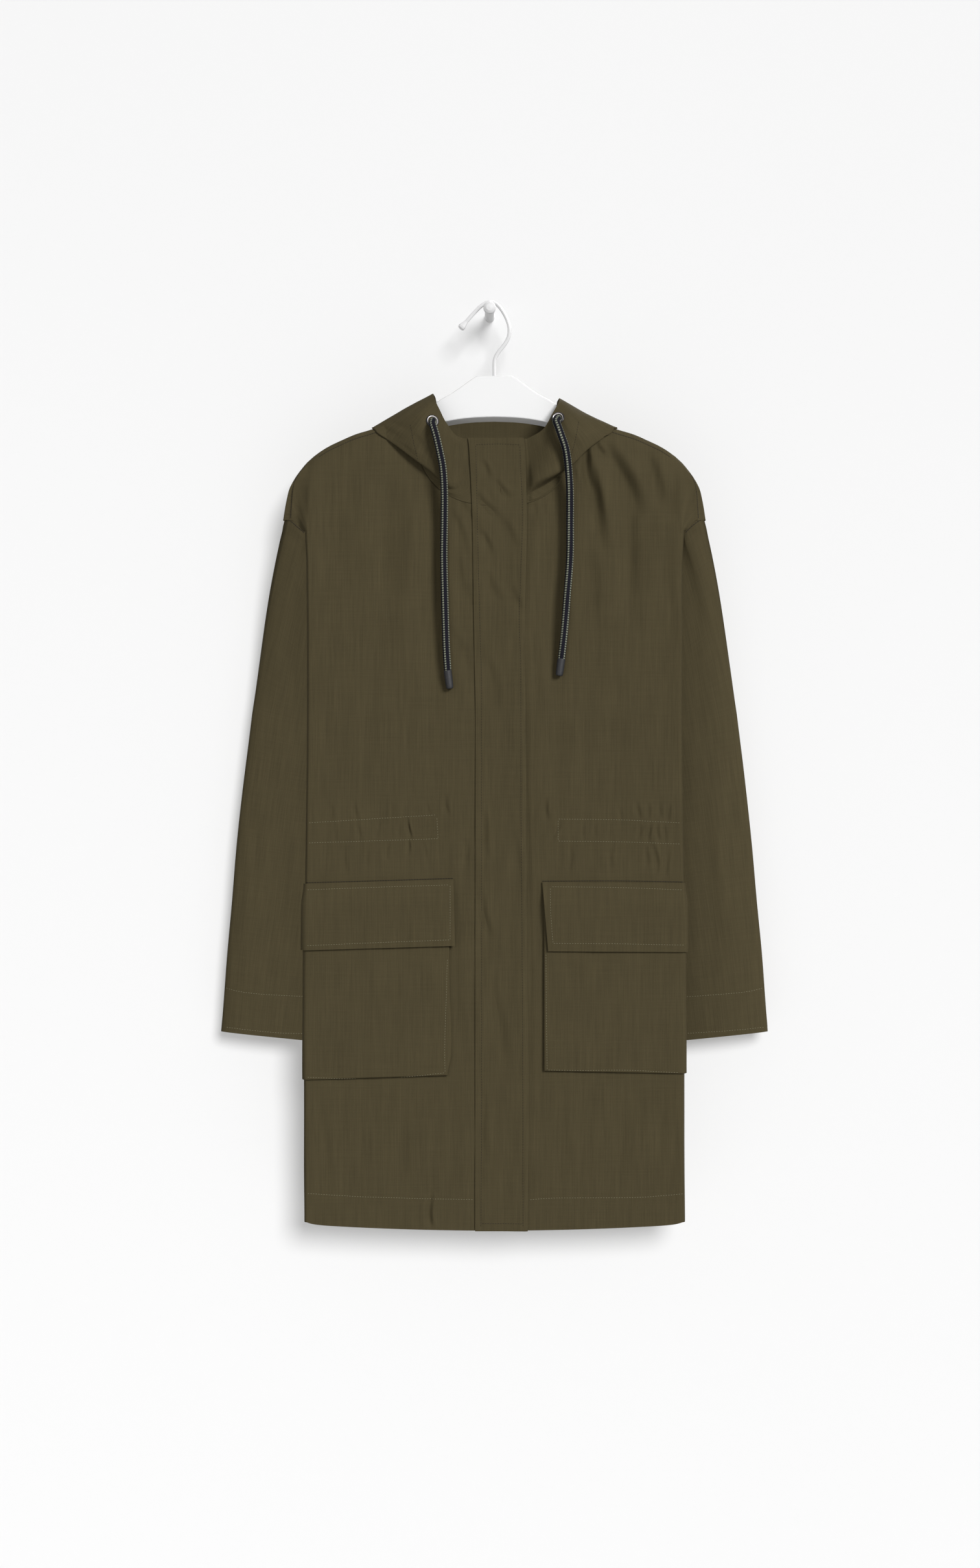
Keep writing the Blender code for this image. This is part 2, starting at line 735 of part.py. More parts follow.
def off_body(point):
    """A point of the hood, moved clear of the shoulder that it lies on."""
    x, out, z = point.x, -point.y, point.z
    top = ridge_z(x)
    if abs(x) < 40:
        return point
    if out < ROUND_OUT and z > top - ROUND:
        away = Vector((out - ROUND_OUT, z - top + ROUND))
        away *= max(ROUND_LIES / away.length, 1.0)
        return Vector((x, -ROUND_OUT - away.x, top - ROUND + away.y))
    if z > top + HOOD_LIES:
        return point
    if out < SEAM_OUT and z > top - 7:
        return Vector((x, -out, top + HOOD_LIES))
    if out > RIDGE_OUT:
        return Vector((x, -max(out, front_out(x, z) + HOOD_LIES), z))
    return Vector((x, -min(out, back_out(x, z) - HOOD_LIES), z))


HOOD_SECTION = 15


def hood_section(side, station):
    """Points that one section of the hood runs through, from the neck seam to the rim."""
    drop = HOOD_RIGHT_RIM_DROP * (side > 0) * (0.56 < station.seam < 1.3)

    def point(x, z, out):
        if station.seam == 0:
            x = side * CENTRE_FRONT + SEAM_GAP / 2
        if station.seam < 0.4:
            out = front_out(side * x, z)
        return Vector((side * x, -out, z))

    crest = point(station.crest_x, station.crest_z, station.crest_out)
    roll = point(station.roll_x, station.roll_z, station.roll_out)
    rim = point(station.rim_x, station.rim_z - drop, station.rim_out)
    middle = roll.lerp(rim, 0.5) + Vector((0, -station.bulge, 0.3 * abs(station.bulge)))
    return [neck_edge(side, station.seam), crest, roll, middle, rim]


def hood_point(side, seam, across):
    """Point of the hood: at a place along the neck seam, across from 0 at the seam to 1 at the rim."""
    if across == 0:
        return neck_edge(side, seam)
    at = between([station.seam for station in HOOD], seam)
    i = min(int(at), len(HOOD) - 2)
    near = range(max(i - 1, 0), min(i + 3, len(HOOD)))
    sections = [spline(hood_section(side, HOOD[k]), across * 4) for k in near]
    return off_body(spline(sections, at - near[0]))


def hood(side, name, holder):
    """Half of the hood, rolled over the shoulder and hanging as a pouch behind the back."""

    halves = [(a + b) / 2 for a, b in zip(NECK_SEAMS, NECK_SEAMS[1:]) if b - a > 0.1]
    seams = sorted(NECK_SEAMS + halves)

    def place(i, j):
        return hood_point(side, seams[i], j / HOOD_SECTION)

    cloth(name, len(seams) - 1, HOOD_SECTION, place, holder, flip=side < 0)


def hood_spot(side, x, z):
    """The point of the hood's visible side nearest to x and z, and its normal."""
    spots = [(a / 50, b / 60) for a in range(28, 52) for b in range(34, 59)]
    seam, across = min(
        spots,
        key=lambda spot: hypot(*((hood_point(side, *spot) - Vector((x, 0, z))).xz)),
    )
    step = 0.02
    first = hood_point(side, seam + step, across) - hood_point(side, seam - step, across)
    second = hood_point(side, seam, across + step) - hood_point(side, seam, across - step)
    normal = first.cross(second).normalized()
    return hood_point(side, seam, across), normal if normal.y < 0 else -normal


FLAP_ACROSS = 4
FLAP_ROWS = 19


def storm_flap(holder):
    """The flap over the closure, from the hood's edge to the hem."""

    def place(i, j):
        z = mix(FLAP[0].z, FLAP[-1].z, j / FLAP_ROWS)
        across = i / FLAP_ACROSS
        x = mix(column(FLAP, "z", "left_x", z), column(FLAP, "z", "right_x", z), across)
        lift = LAID_GAP + DOUBLE_CLOTH + FLAP_LIFT * across**2
        z -= 1.5 * sin(pi * across) * (j == 0)
        return Vector((x, -front_out(x, z) - lift, z))

    cloth("storm_flap", FLAP_ACROSS, FLAP_ROWS, place, holder, wall=DOUBLE_CLOTH)


FLAT_COLUMNS = 6
TURN_COLUMNS = 3
POCKET_ROWS = 8


def pocket_lift(across, up):
    """How far a pocket's face stands off the front; it lies flatter towards the side fold."""
    at_side = mix(POCKET_DEPTH, POCKET_MOUTH, up)
    return mix(at_side, POCKET_SIDE, ease(0.45, 1.0, across))


def laid_s(inner, z, k):
    """Distance from the middle line of a laid piece's column k, which ends round the side fold."""
    if k <= FLAT_COLUMNS:
        return mix(inner, start_s(z), k / FLAT_COLUMNS)
    return start_s(z) + SIDE_TURN * level(z, "fold_radius") * (k - FLAT_COLUMNS) / TURN_COLUMNS


def pocket(spec, name, holder):
    """A patch pocket on a gusset, open at the top under its flap."""

    def place(i, j):
        up = max(j - 1, 0) / (POCKET_ROWS - 1)
        k = min(max(i - 1, 0), FLAT_COLUMNS + TURN_COLUMNS)
        across = min(k / FLAT_COLUMNS, 1.0)
        z = mix(spec.low_z, spec.top_z, up) + spec.low_rise * (1 - across) * (1 - up)
        s = laid_s(mix(spec.inner_low, spec.inner_top, up), z, k)
        lift = pocket_lift(across, up)
        if j == 0 or i != k + 1:
            lift = LAID_GAP + CLOTH
        z -= GUSSET * (j == 0)
        s += GUSSET * (i - k - 1)
        return front_point(spec.side, s, z, lift)

    across = FLAT_COLUMNS + TURN_COLUMNS + 2
    cloth(name, across, POCKET_ROWS, place, holder, flip=spec.side < 0)


COVER_ROWS = 5


def pocket_flap(spec, name, holder):
    """A pocket's flap, sewn along its top and lying over the mouth."""

    def place(i, j):
        across = min(i / FLAT_COLUMNS, 1.0)
        up = j / COVER_ROWS
        z = mix(spec.low_z, spec.top_z, up) - spec.outer_drop * across
        s = laid_s(mix(spec.inner_low, spec.inner_top, up), z, i)
        under = mix(POCKET_DEPTH, POCKET_SIDE, ease(0.45, 1.0, across)) + LAID_GAP
        over = ease(0, COVER_RISE, (1 - up) * (spec.top_z - spec.low_z))
        return front_point(spec.side, s, z, LAID_GAP + DOUBLE_CLOTH + under * over)

    across = FLAT_COLUMNS + TURN_COLUMNS
    cloth(name, across, COVER_ROWS, place, holder, DOUBLE_CLOTH, flip=spec.side < 0)


def eyelet(side, name, spot, holder):
    """A rolled metal ring on the hood."""
    inner, outer, high = EYELET_BORE, EYELET_RADIUS, EYELET_HEIGHT
    profile = (
        (inner + 0.7, high),
        (outer - 0.9, high * 0.8),
        (outer, high * 0.3),
        (outer, 0),
        (inner, 0),
        (inner, high * 0.6),
    )
    made = turned(name, profile, (STEEL, 0.35, 1.0), holder)
    point, normal = hood_spot(side, *spot)
    made.location = (point + 2.2 * SEAM_GAP * normal) * MM
    made.rotation_euler = normal.to_track_quat("Z", "Y").to_euler()


def cord(name, route, holder):
    """A drawcord's free end, as points about every CORD_STEP of its length."""
    points = [Vector((x, -out, z)) for x, out, z in route]
    fine = [spline(points, i / 8) for i in range(8 * (len(points) - 1) + 1)]
    length = sum((b - a).length for a, b in zip(fine, fine[1:]))
    count = round(length / CORD_STEP)
    tube(name, [walk(fine, i / count) for i in range(count + 1)], CORD_RADIUS, (NAVY, 0.85), holder)


def cord_tip(name, route, reach, holder):
    """The dipped end of a cord, in line with it."""
    x, out, z = route[-1]
    along = Vector((reach[0], -reach[1], reach[2]))
    start = Vector((x, -out, z)) + SEAM_GAP * along.normalized()
    points = [start + along * share for share in (0, 0.3, 0.6, 0.85, 1.0)]
    tube(name, points, CORD_TIP_RADIUS, (BLACK, 0.5), holder, lambda i: (1, 1, 1, 0.94, 0.7)[i])


def hanger_body(holder):
    """The hanger's flat body: an outline with rounded edges."""
    xs = [0, 12, 22, 28, 35, 48, 62, 76, 90, 112, 137, 160, 182, HANGER_END_X]

    def upper(x):
        below = HANGER_CLEAR + 1.6 * ease(150, HANGER_END_X, x)
        return ridge_z(x) - below if x >= NECK_X else column(ARCH, "x", "top", x)

    def lower(x):
        return column(ARCH, "x", "low", x)

    right_top = [(x, upper(x)) for x in xs]
    right_low = [(x, lower(x)) for x in reversed(xs)]
    half = right_top + right_low
    outline = half + [(-x, z) for x, z in reversed(half) if x > 0]
    curve = bpy.data.curves.new("hanger_body", "CURVE")
    curve.dimensions = "2D"
    curve.fill_mode = "BOTH"
    curve.extrude = (HANGER_DEPTH / 2 - HANGER_ROUND) * MM
    curve.bevel_depth = HANGER_ROUND * MM
    curve.bevel_resolution = 1
    curve.offset = -HANGER_ROUND * MM
    line = curve.splines.new("POLY")
    line.points.add(len(outline) - 1)
    line.use_cyclic_u = True
    for corner, (x, z) in zip(line.points, outline):
        corner.co = (x * MM, z * MM, 0, 1)
    made = keep("hanger_body", curve, (WHITE, 0.4), holder)
    made.location.y = -RIDGE_OUT * MM
    made.rotation_euler.x = pi / 2


def hanger_hook(holder):
    """The hanger's wire hook over the peg, with a rounded end."""
    corners = [Vector((x, -RIDGE_OUT, z)) for x, z in HOOK]
    fine = [spline(corners, i / 2) for i in range(2 * len(corners) - 1)]
    tip = HOOK_TIP_RADIUS / HOOK_RADIUS
    out = (fine[0] - fine[1]).normalized()
    ball = [fine[0] + out * d for d in (4.4, 4.0, 2.6, 0.6, -1.6)]
    points = ball + fine[1:]
    sizes = [0.3 * tip, 0.68 * tip, 0.94 * tip, tip, 0.82 * tip] + [1.0] * len(fine[1:])
    tube("hanger_hook", points, HOOK_RADIUS, (WHITE, 0.35), holder, lambda i: sizes[i])


def wall_peg():
    """The peg: a stem from the wall and a rounded head, turned about the Y axis."""
    profile = (
        (0, PEG_LENGTH),
        (0.55 * PEG_HEAD_RADIUS, PEG_LENGTH - 0.5),
        (0.9 * PEG_HEAD_RADIUS, PEG_LENGTH - 2.2),
        (PEG_HEAD_RADIUS, PEG_LENGTH - 4.2),
        (PEG_HEAD_RADIUS, PEG_HEAD_OUT + 1),
        (PEG_RADIUS, PEG_HEAD_OUT),
        (PEG_RADIUS, 0),
        (0, 0),
    )
    made = turned("wall_peg", profile, (WHITE, 0.4), None, steps=24)
    made.rotation_euler.x = pi / 2


def main():
    for old in list(bpy.data.objects):
        bpy.data.objects.remove(old)
    bpy.context.scene.collection.children.link(bpy.data.collections.new("parka"))
    holder = bpy.data.objects.new("garment", None)
    holder.location.x = GARMENT_X * MM
    bpy.data.collections["parka"].objects.link(holder)
    back(holder)
    storm_flap(holder)
    for word, side in (("left", -1), ("right", 1)):
        front(side, "front_" + word, holder)
        sleeve(side, "sleeve_" + word, holder)
        hood(side, "hood_" + word, holder)
        eyelet(side, "eyelet_" + word, EYELETS[word], holder)
        cord("cord_" + word, CORD_ROUTES[word], holder)
        cord_tip("cord_tip_" + word, CORD_ROUTES[word], CORD_TIPS[word], holder)
    for word, spec, cover in zip(("left", "right"), POCKETS, COVERS):
        pocket(spec, "pocket_" + word, holder)
        pocket_flap(cover, "pocket_flap_" + word, holder)
    hanger_body(holder)
    hanger_hook(holder)
    wall_peg()


main()
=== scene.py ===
"""Hooded parka on a plastic hanger over a wall peg: its cloth, sewing, cords and fittings.

Sizes are in millimetres, and MM turns them into metres. "Out" is the distance from the wall, x is
measured from the garment's middle line, and left and right are as seen from the front.
"""

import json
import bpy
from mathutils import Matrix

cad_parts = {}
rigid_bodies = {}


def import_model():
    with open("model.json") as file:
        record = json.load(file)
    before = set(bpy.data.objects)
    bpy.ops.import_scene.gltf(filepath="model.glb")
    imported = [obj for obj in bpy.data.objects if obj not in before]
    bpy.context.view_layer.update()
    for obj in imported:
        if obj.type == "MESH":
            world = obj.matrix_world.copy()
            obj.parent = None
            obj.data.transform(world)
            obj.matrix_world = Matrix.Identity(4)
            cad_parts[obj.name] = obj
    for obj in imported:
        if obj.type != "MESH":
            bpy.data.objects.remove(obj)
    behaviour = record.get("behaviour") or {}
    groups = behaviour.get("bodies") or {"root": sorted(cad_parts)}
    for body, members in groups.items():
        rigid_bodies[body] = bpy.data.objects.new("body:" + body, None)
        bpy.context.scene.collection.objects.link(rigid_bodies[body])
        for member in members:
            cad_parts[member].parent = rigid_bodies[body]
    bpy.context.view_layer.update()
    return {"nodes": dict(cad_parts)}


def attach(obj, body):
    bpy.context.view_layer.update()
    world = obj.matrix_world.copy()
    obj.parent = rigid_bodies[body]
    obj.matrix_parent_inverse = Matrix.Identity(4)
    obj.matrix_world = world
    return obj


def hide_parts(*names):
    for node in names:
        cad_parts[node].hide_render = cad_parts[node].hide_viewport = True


bl_info = {
    "name": "Hooded Parka",
    "version": (1, 0, 0),
    "blender": (4, 5, 0),
    "location": "View3D > Sidebar > Parka",
    "description": "Dresses the packed parka with its cloth, sewing, cords and fittings",
    "category": "Object",
}

from collections import namedtuple
from math import cos, pi, radians, sin

import bmesh
import bpy
import numpy as np
from bpy.props import FloatProperty, FloatVectorProperty, IntProperty, PointerProperty
from mathutils import Matrix, Vector
from mathutils.bvhtree import BVHTree

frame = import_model()

MM = 0.001
# Points nearer than this are joined where a piece closes
CLOSE_GAP = 0.02
SIDES = (("left", -1), ("right", 1))


def table(columns, *rows):
    """A table with named columns."""
    row_of = namedtuple("Row", columns)
    return tuple(row_of(*row) for row in rows)


# Sizes that the solids have too
CLOTH = 1.5
DOUBLE_CLOTH = 2.0
SEAM_GAP = 0.3
LAID_GAP = 0.4
GARMENT_X = 5.4
CENTRE_FRONT = 7.0

# Body: the fold at each side of the front, the side seam behind it, and the hem
LEVELS = table(
    "z half_width fold_radius front_out back_out",
    (-1030, 212.0, 11.5, 85.0, 52.0), (-850, 212.0, 11.5, 86.5, 51.0), (-640, 211.0, 11.5, 87.0, 50.0),
    (-450, 209.0, 11.5, 87.0, 48.0), (-370, 209.0, 11.0, 86.0, 46.0), (-290, 209.5, 10.0, 84.0, 43.0),
    (-250, 211.0, 9.0, 82.5, 42.0), (-215, 211.0, 6.0, 80.5, 41.0), (-180, 211.5, 3.0, 79.0, 41.0),
    (-110, 211.5, 2.5, 76.0, 41.0),
)
FOLD_EDGE = 3.5
SIDE_SEAM_X = 142.0
UNDERARM_Z = -400.0
HEM_MIDDLE_Z = -1029.0
HEM_RISE = 10.0
HEM_HALF = 212.0
HEM_BOW = 0.7
HEM_CORNER = 0.4
HEM_CORNER_POWER = 30
BACK_HEM_Z = -1018.0
BACK_FLAT_X = 60.0
UNDERARM_BLEND = 60.0

# Shoulder: the ridge over the hanger, and the seam a little in front of it
RIDGE = table(
    "x z",
    (0, -74), (60, -101), (90, -117), (137, -135.0), (155, -140.4), (171, -147.3), (187, -155),
    (203, -166), (209, -171.5),
)
RIDGE_OUT = 56.0
SEAM_OUT = 69.0
SEAM_DROP = 5.0
SHOULDER_FALL = 14.0

# The back's way over the ridge, from behind the hanger to the seam: out, and drop below the ridge
WRAPS = np.array(((41.0, 8.0), (42.6, 2.8), (48.5, 0.3), (57.0, 0.0), (64.0, 0.9), (67.5, 3.5)))
NECK_X = 90.0
TIP_X = 209.0

# Dropped shoulder beyond the hanger: its outline, and the seam over the arm inside it
DROPS = table(
    "z outline_x seam_x",
    (-238.0, 236.0, 226.5), (-220.0, 233.0, 225.5), (-199.0, 227.5, 223.5), (-187.5, 221.0, 218.5),
    (-176.5, 211.5, 209.0),
)
ARMHOLE_FOLD_Z = -251.0
CAP_EDGE_OUT = 74.0
OUTLINE_FORWARD = 13.0
OUTLINE_RISE = 3.0
OVER_SEAM = 1.6
OVER_SEAM_RISE = 1.2
# From the outline to the cloth behind it, at the hanger's tip and at the armhole: x, y and z
BEHIND_TIP = np.array((-1.0, 15.0, -8.0))
BEHIND_ARM = np.array((-8.0, 6.0, -4.0))

# Neck
FRONT_NECK_Z = -223.0
BACK_NECK_Z = -150.0
NECK_ROUNDNESS = 0.77

# Large soft folds of the fronts: a trough between two points
FOLDS = table(
    "top_x top_z bottom_x bottom_z depth width",
    (109, -158, 118, -250, 3.0, 9.0), (172, -158, 200, -245, 3.0, 9.0),
    (146, -185, 151, -330, 3.5, 15.0), (62, -240, 66, -420, 2.0, 14.0),
    (-118, -165, -126, -340, 2.0, 14.0), (-170, -180, -186, -320, 2.0, 12.0),
)

# Sleeves below the armhole: outer and inner edge, half thickness, and how much lower the inner edge is
ARMS = table(
    "z outer_x inner_x half_depth drop",
    (-812, 309.0, 173.6, 12.0, 13.5), (-789, 307.0, 171, 12.0, 15.5), (-726, 302.4, 161, 12.5, 17),
    (-660, 296.2, 150, 13.0, 20), (-600, 291.0, 140, 13.5, 24), (-525, 283.0, 128, 14.0, 30),
    (-452, 273.8, 117, 14.0, 38),
)
ARM_OUT = 32.0
ARM_SQUARENESS = 0.78
ARM_CURVE = 3.6

# Hood stations from the centre front round the neck to the centre back. seam is the place along the
# neck edge: 0 centre front, 1 shoulder, 2 centre back. The cloth goes from the seam to the crest, to
# the roll where it turns, and to the rim of the face opening.
Station = namedtuple(
    "Station",
    "seam crest_x crest_z crest_out roll_x roll_z roll_out rim_x rim_z rim_out bulge",
)
HOOD = (
    Station(0.00, -7, -204, 82, -7, -186, 81.5, -7, -149, 79, 0),
    Station(0.36, 36, -204, 82, 36, -186, 81.5, 36, -147, 79, 0),
    Station(0.56, 55, -200, 85, 58, -188, 90, 52, -133, 83, 3),
    Station(0.72, 72, -184, 85, 82, -173, 88.5, 61, -116, 82, 6.2),
    Station(0.86, 92, -162, 81, 107, -156, 83, 66.5, -104, 76, 8.5),
    Station(1.00, 114, -129, 68, 135.5, -136, 65, 69, -95.5, 62, 4),
    Station(1.12, 108, -125.5, 52, 134, -136.5, 50, 67, -97, 51, 2),
    Station(1.25, 100, -124, 36, 128, -162, 28, 63, -106, 40, -1),
    Station(1.48, 66, -125, 33, 110, -262, 20, 47, -118, 28, -5),
    Station(1.74, 34, -124, 32, 66, -338, 17, 25, -140, 15, -4),
    Station(2.00, -0.15, -124, 32, -0.15, -360, 16, -0.15, -156, 9, -4),
)
# The right half turns over a little lower in front, and stands clear of the neck seam there
HOOD_RIGHT = (
    HOOD[0],
    Station(0.22, 34, -212, 80, 34, -203, 80, 33, -148, 78, 0),
    Station(0.36, 50, -205, 80, 45, -196, 89, 38, -147, 78, -2.5),
    Station(0.56, 68, -191.5, 81.5, 64, -188.5, 92.5, 54, -138, 83, 1.5),
    Station(0.72, 82, -177.5, 84, 86, -176, 89.5, 64, -121, 82, 5.7),
    *HOOD[4:],
)
HOOD_LIES = 1.2
ROUND_OUT = 51.0
ROUND = 10.0
ROUND_LIES = 11.3
HOOD_RIGHT_RIM_DROP = 5.0
HOOD_RIGHT_RIM_ASIDE = 4.0
HOOD_CORNER_RISE = -0.2
HOOD_RIGHT_CORNER_DROP = 2.4
NECK_MIDDLE_Z = -95.0
OVER_RIDGE = 1.22

# Storm flap: both edges at some heights
FLAP = table(
    "z left_x right_x",
    (-1029.5, -21.5, 37.0), (-880, -21.3, 38.0), (-700, -21.2, 36.0), (-460, -21.0, 34.5),
    (-370, -22.5, 33.5), (-240, -24.5, 36.0), (-161, -28.0, 34.2), (-147, -29.5, 32.5),
)

# Pockets and their flaps, by the distance from the middle line
POCKETS = table(
    "side inner_top inner_low top_z low_z low_rise",
    (-1, 50.5, 53.0, -668, -860, 5), (1, 56.0, 56.0, -668, -853, 3),
)
POCKET_MOUTH = 3.5
POCKET_DEPTH = 4.0
POCKET_SIDE = 3.0
COVERS = table(
    "side inner_top inner_low top_z low_z outer_drop",
    (-1, 45.5, 43.7, -638.2, -712, 5), (1, 53.0, 59.5, -641.4, -718, 1),
)
COVER_RISE = 26.0
SIDE_TURN = 0.9
FLAT_COLUMNS = 6
TURN_COLUMNS = 3
LAST_COLUMN = FLAT_COLUMNS + TURN_COLUMNS
POCKET_ROWS = 72
INNER_BOW = 2.5
GUSSET_BOW = 5

# Drawcords: the way of each free end as x, out and z, and the reach of its dipped end
CORD_ROUTES = {
    "left": (
        (-68.4, 96.5, -134.0),
        (-66.6, 100.5, -140.5),
        (-64.0, 101.5, -150.0),
        (-60.4, 99.5, -166.0),
        (-57.2, 97.0, -183.0),
        (-55.7, 93.0, -208.0),
        (-55.8, 89.2, -240.0),
        (-56.3, 89.0, -281.0),
        (-55.0, 90.1, -335.0),
        (-53.6, 90.9, -380.0),
        (-51.9, 91.3, -407.8),
    ),
    "right": (
        (68.4, 95.1, -131.0),
        (70.4, 99.7, -137.5),
        (73.6, 101.6, -147.0),
        (78.4, 100.2, -161.0),
        (81.2, 97.2, -178.0),
        (83.3, 92.6, -204.0),
        (83.7, 89.0, -240.0),
        (83.5, 89.0, -281.0),
        (80.0, 90.0, -330.0),
        (77.0, 90.7, -368.0),
        (74.1, 91.1, -394.6),
    ),
}
CORD_TIPS = {"left": (2.4, 0.1, -18.3), "right": (-2.4, 0.1, -17.2)}
EYELETS = {
    "left": ((-69.0, -88.2, -129.8), (0.22, -0.94, 0.27)),
    "right": ((70.5, -86.0, -126.3), (-0.21, -0.91, 0.37)),
}

# The photograph's camera: its place and reach in metres, its sensor and lens in millimetres
CAMERA_PLACE = (0.0004, -3.1, -0.5326)
CAMERA_SENSOR = 36.0
CAMERA_LENS = 62.29
CAMERA_REACH = 50

# The room, in metres
SKY_STRENGTH = 0.2
ROOM_HALF = 4.0
WALL_MIDDLE_Z = -0.5
FLOOR_Z = -2.2


# Curves through tables


def smooth(xs, ys, x):
    """Cubic through the points, without overshoot and flat beyond the ends; xs rise."""
    xs = np.asarray(xs, float)
    ys = np.asarray(ys, float)
    x = np.clip(x, xs[0], xs[-1])
    steps = np.diff(ys) / np.diff(xs)
    before, after = steps[:-1], steps[1:]
    rising = before * after > 0
    inner = np.where(rising, 2 * before * after / np.where(rising, before + after, 1), 0)
    slopes = np.concatenate((steps[:1], inner, steps[-1:]))
    i = np.clip(np.searchsorted(xs, x, "right") - 1, 0, len(steps) - 1)
    width = xs[i + 1] - xs[i]
    t = (x - xs[i]) / width
    return (
        ys[i] * (1 + 2 * t) * (1 - t) ** 2
        + slopes[i] * width * t * (1 - t) ** 2
        + ys[i + 1] * t * t * (3 - 2 * t)
        + slopes[i + 1] * width * t * t * (t - 1)
    )


def column(table, key, name, at):
    """One column of a table, at values of its key column."""
    return smooth([getattr(row, key) for row in table], [getattr(row, name) for row in table], at)


def mix(a, b, share):
    return a + (b - a) * share


def ease(low, high, x):
    """0 below low, 1 above high, and a soft step between."""
    t = np.clip((x - low) / (high - low), 0.0, 1.0)
    return t * t * (3 - 2 * t)


def spline(points, at):
    """Points of the smooth curve through a row of points, at 0 for the first and n - 1 for the last."""
    points = np.asarray(points, float)
    at = np.atleast_1d(np.asarray(at, float))
    i = np.clip(at.astype(int), 0, len(points) - 2)
    t = (at - i).reshape(-1, *[1] * (points.ndim - 1))
    ends = [2 * points[:1] - points[1:2], points, 2 * points[-1:] - points[-2:-1]]
    padded = np.concatenate(ends)
    p0, p1, p2, p3 = (padded[i + k] for k in range(4))
    return 0.5 * (
        2 * p1
        + (p2 - p0) * t
        + (2 * p0 - 5 * p1 + 4 * p2 - p3) * t * t
        + (3 * p1 - p0 - 3 * p2 + p3) * t**3
    )


def lengths(points):
    """Length from the first point to each point of a line."""
    steps = np.linalg.norm(np.diff(points, axis=0), axis=1)
    return np.concatenate(((0.0,), np.cumsum(steps)))


def walk(points, share):
    """Points at shares of the length of a line of points."""
    gone = lengths(points)
    at = np.asarray(share) * gone[-1]
    return np.stack([np.interp(at, gone, points[:, k]) for k in range(3)], -1)


def place(x, out, z):
    """Points from x, out and z, which may be arrays that fit together."""
    return np.stack(np.broadcast_arrays(x, -np.asarray(out), z), -1).astype(float)


def ripple(x, z, wide, tall, seed):
    """Soft uneven waves from -1 to 1, of about that width and height."""
    random = np.random.default_rng(seed)
    lattice = random.uniform(-1, 1, (64, 64))
    u, v = x / wide, z / tall
    i, j = np.floor(u).astype(int), np.floor(v).astype(int)
    a, b = ease(0, 1, u - i), ease(0, 1, v - j)
    corners = [lattice[(i + p) % 64, (j + q) % 64] for p in (0, 1) for q in (0, 1)]
    return mix(mix(corners[0], corners[1], b), mix(corners[2], corners[3], b), a)


# Fine unevenness of each cloth: height, width and length of its waves, and their random seed
Waves = namedtuple("Waves", "height wide tall seed")
FRONT_WAVES = Waves(0.35, 17, 150, 3)
FRONT_FINE_WAVES = Waves(0.18, 6, 60, 4)
TIP_WAVES = Waves(0.03, 1.0, 9.0, 5)
BACK_WAVES = Waves(0.4, 19, 160, 8)
SLEEVE_WAVES = Waves(0.3, 14, 120, 12)
HOOD_WAVES = Waves(0.25, 16, 30, 20)
FLAP_WAVES = Waves(0.22, 11, 90, 31)
POCKET_WAVES = Waves(0.3, 16, 60, 41)
COVER_WAVES = Waves(0.25, 15, 60, 51)


def uneven(waves, x, z, side=0):
    """Depth of the fine waves at x and z; the two sides have waves of their own."""
    return waves.height * ripple(x, z, waves.wide, waves.tall, waves.seed + side)


# Surfaces of the body


def level(z, name):
    return column(LEVELS, "z", name, z)


def ridge_z(x):
    return column(RIDGE, "x", "z", np.abs(x))


def folds_in(x, z):
    """How deep the large soft folds of the fronts are."""
    total = 0.0
    for fold in FOLDS:
        along = np.clip((fold.top_z - z) / (fold.top_z - fold.bottom_z), 0, 1)
        away = (x - mix(fold.top_x, fold.bottom_x, along)) / fold.width
        total = total + fold.depth * np.sin(pi * along) * np.exp(-away * away)
    return total


def front_out(x, z):
    """Distance of the front's outer face from the wall."""
    drop = np.maximum(ridge_z(x) - SEAM_DROP - z, 0.0)
    return mix(SEAM_OUT, level(z, "front_out"), 1 - np.exp(-drop / SHOULDER_FALL)) - folds_in(x, z)


def start_s(z):
    """Where the side fold starts, from the middle line."""
    return level(z, "half_width") - np.minimum(level(z, "fold_radius"), FOLD_EDGE)


def front_point(side, s, z, lift=0.0):
    """Points of a front at the distance s from the middle line, round the side fold and behind it."""
    s, z, lift = np.broadcast_arrays(np.asarray(s, float), np.asarray(z, float), lift)
    radius = level(z, "fold_radius")
    start = start_s(z)
    out = front_out(side * start, z)
    turn = (s - start) / radius
    reach = radius + lift
    aside = np.minimum(radius, FOLD_EDGE) + lift
    behind = s - start - pi * radius
    flat = place(side * s, front_out(side * s, z) + lift, z)
    bent = place(side * (start + aside * np.sin(turn)), out - radius + reach * np.cos(turn), z)
    rear = place(side * (start - behind), out - 2 * radius - lift, z)
    turned = np.where((turn <= pi)[..., None], bent, rear)
    return np.where((s <= start)[..., None], flat, turned)


def hem_z(s):
    """Lower edge of the fronts, with a small rounding at the side fold."""
    share = np.abs(s) / HEM_HALF
    return HEM_MIDDLE_Z + HEM_RISE * (HEM_BOW * share**2 + HEM_CORNER * share**HEM_CORNER_POWER)


def back_out(x, z):
    """Distance of the back's outer face from the wall; it comes forward to the side seams."""
    middle = level(z, "back_out")
    seam = level(z, "front_out") - 2 * level(z, "fold_radius")
    aside = ease(BACK_FLAT_X, SIDE_SEAM_X, np.abs(x))
    return mix(middle, seam, aside * (1 - ease(UNDERARM_Z, UNDERARM_Z + UNDERARM_BLEND, z)))


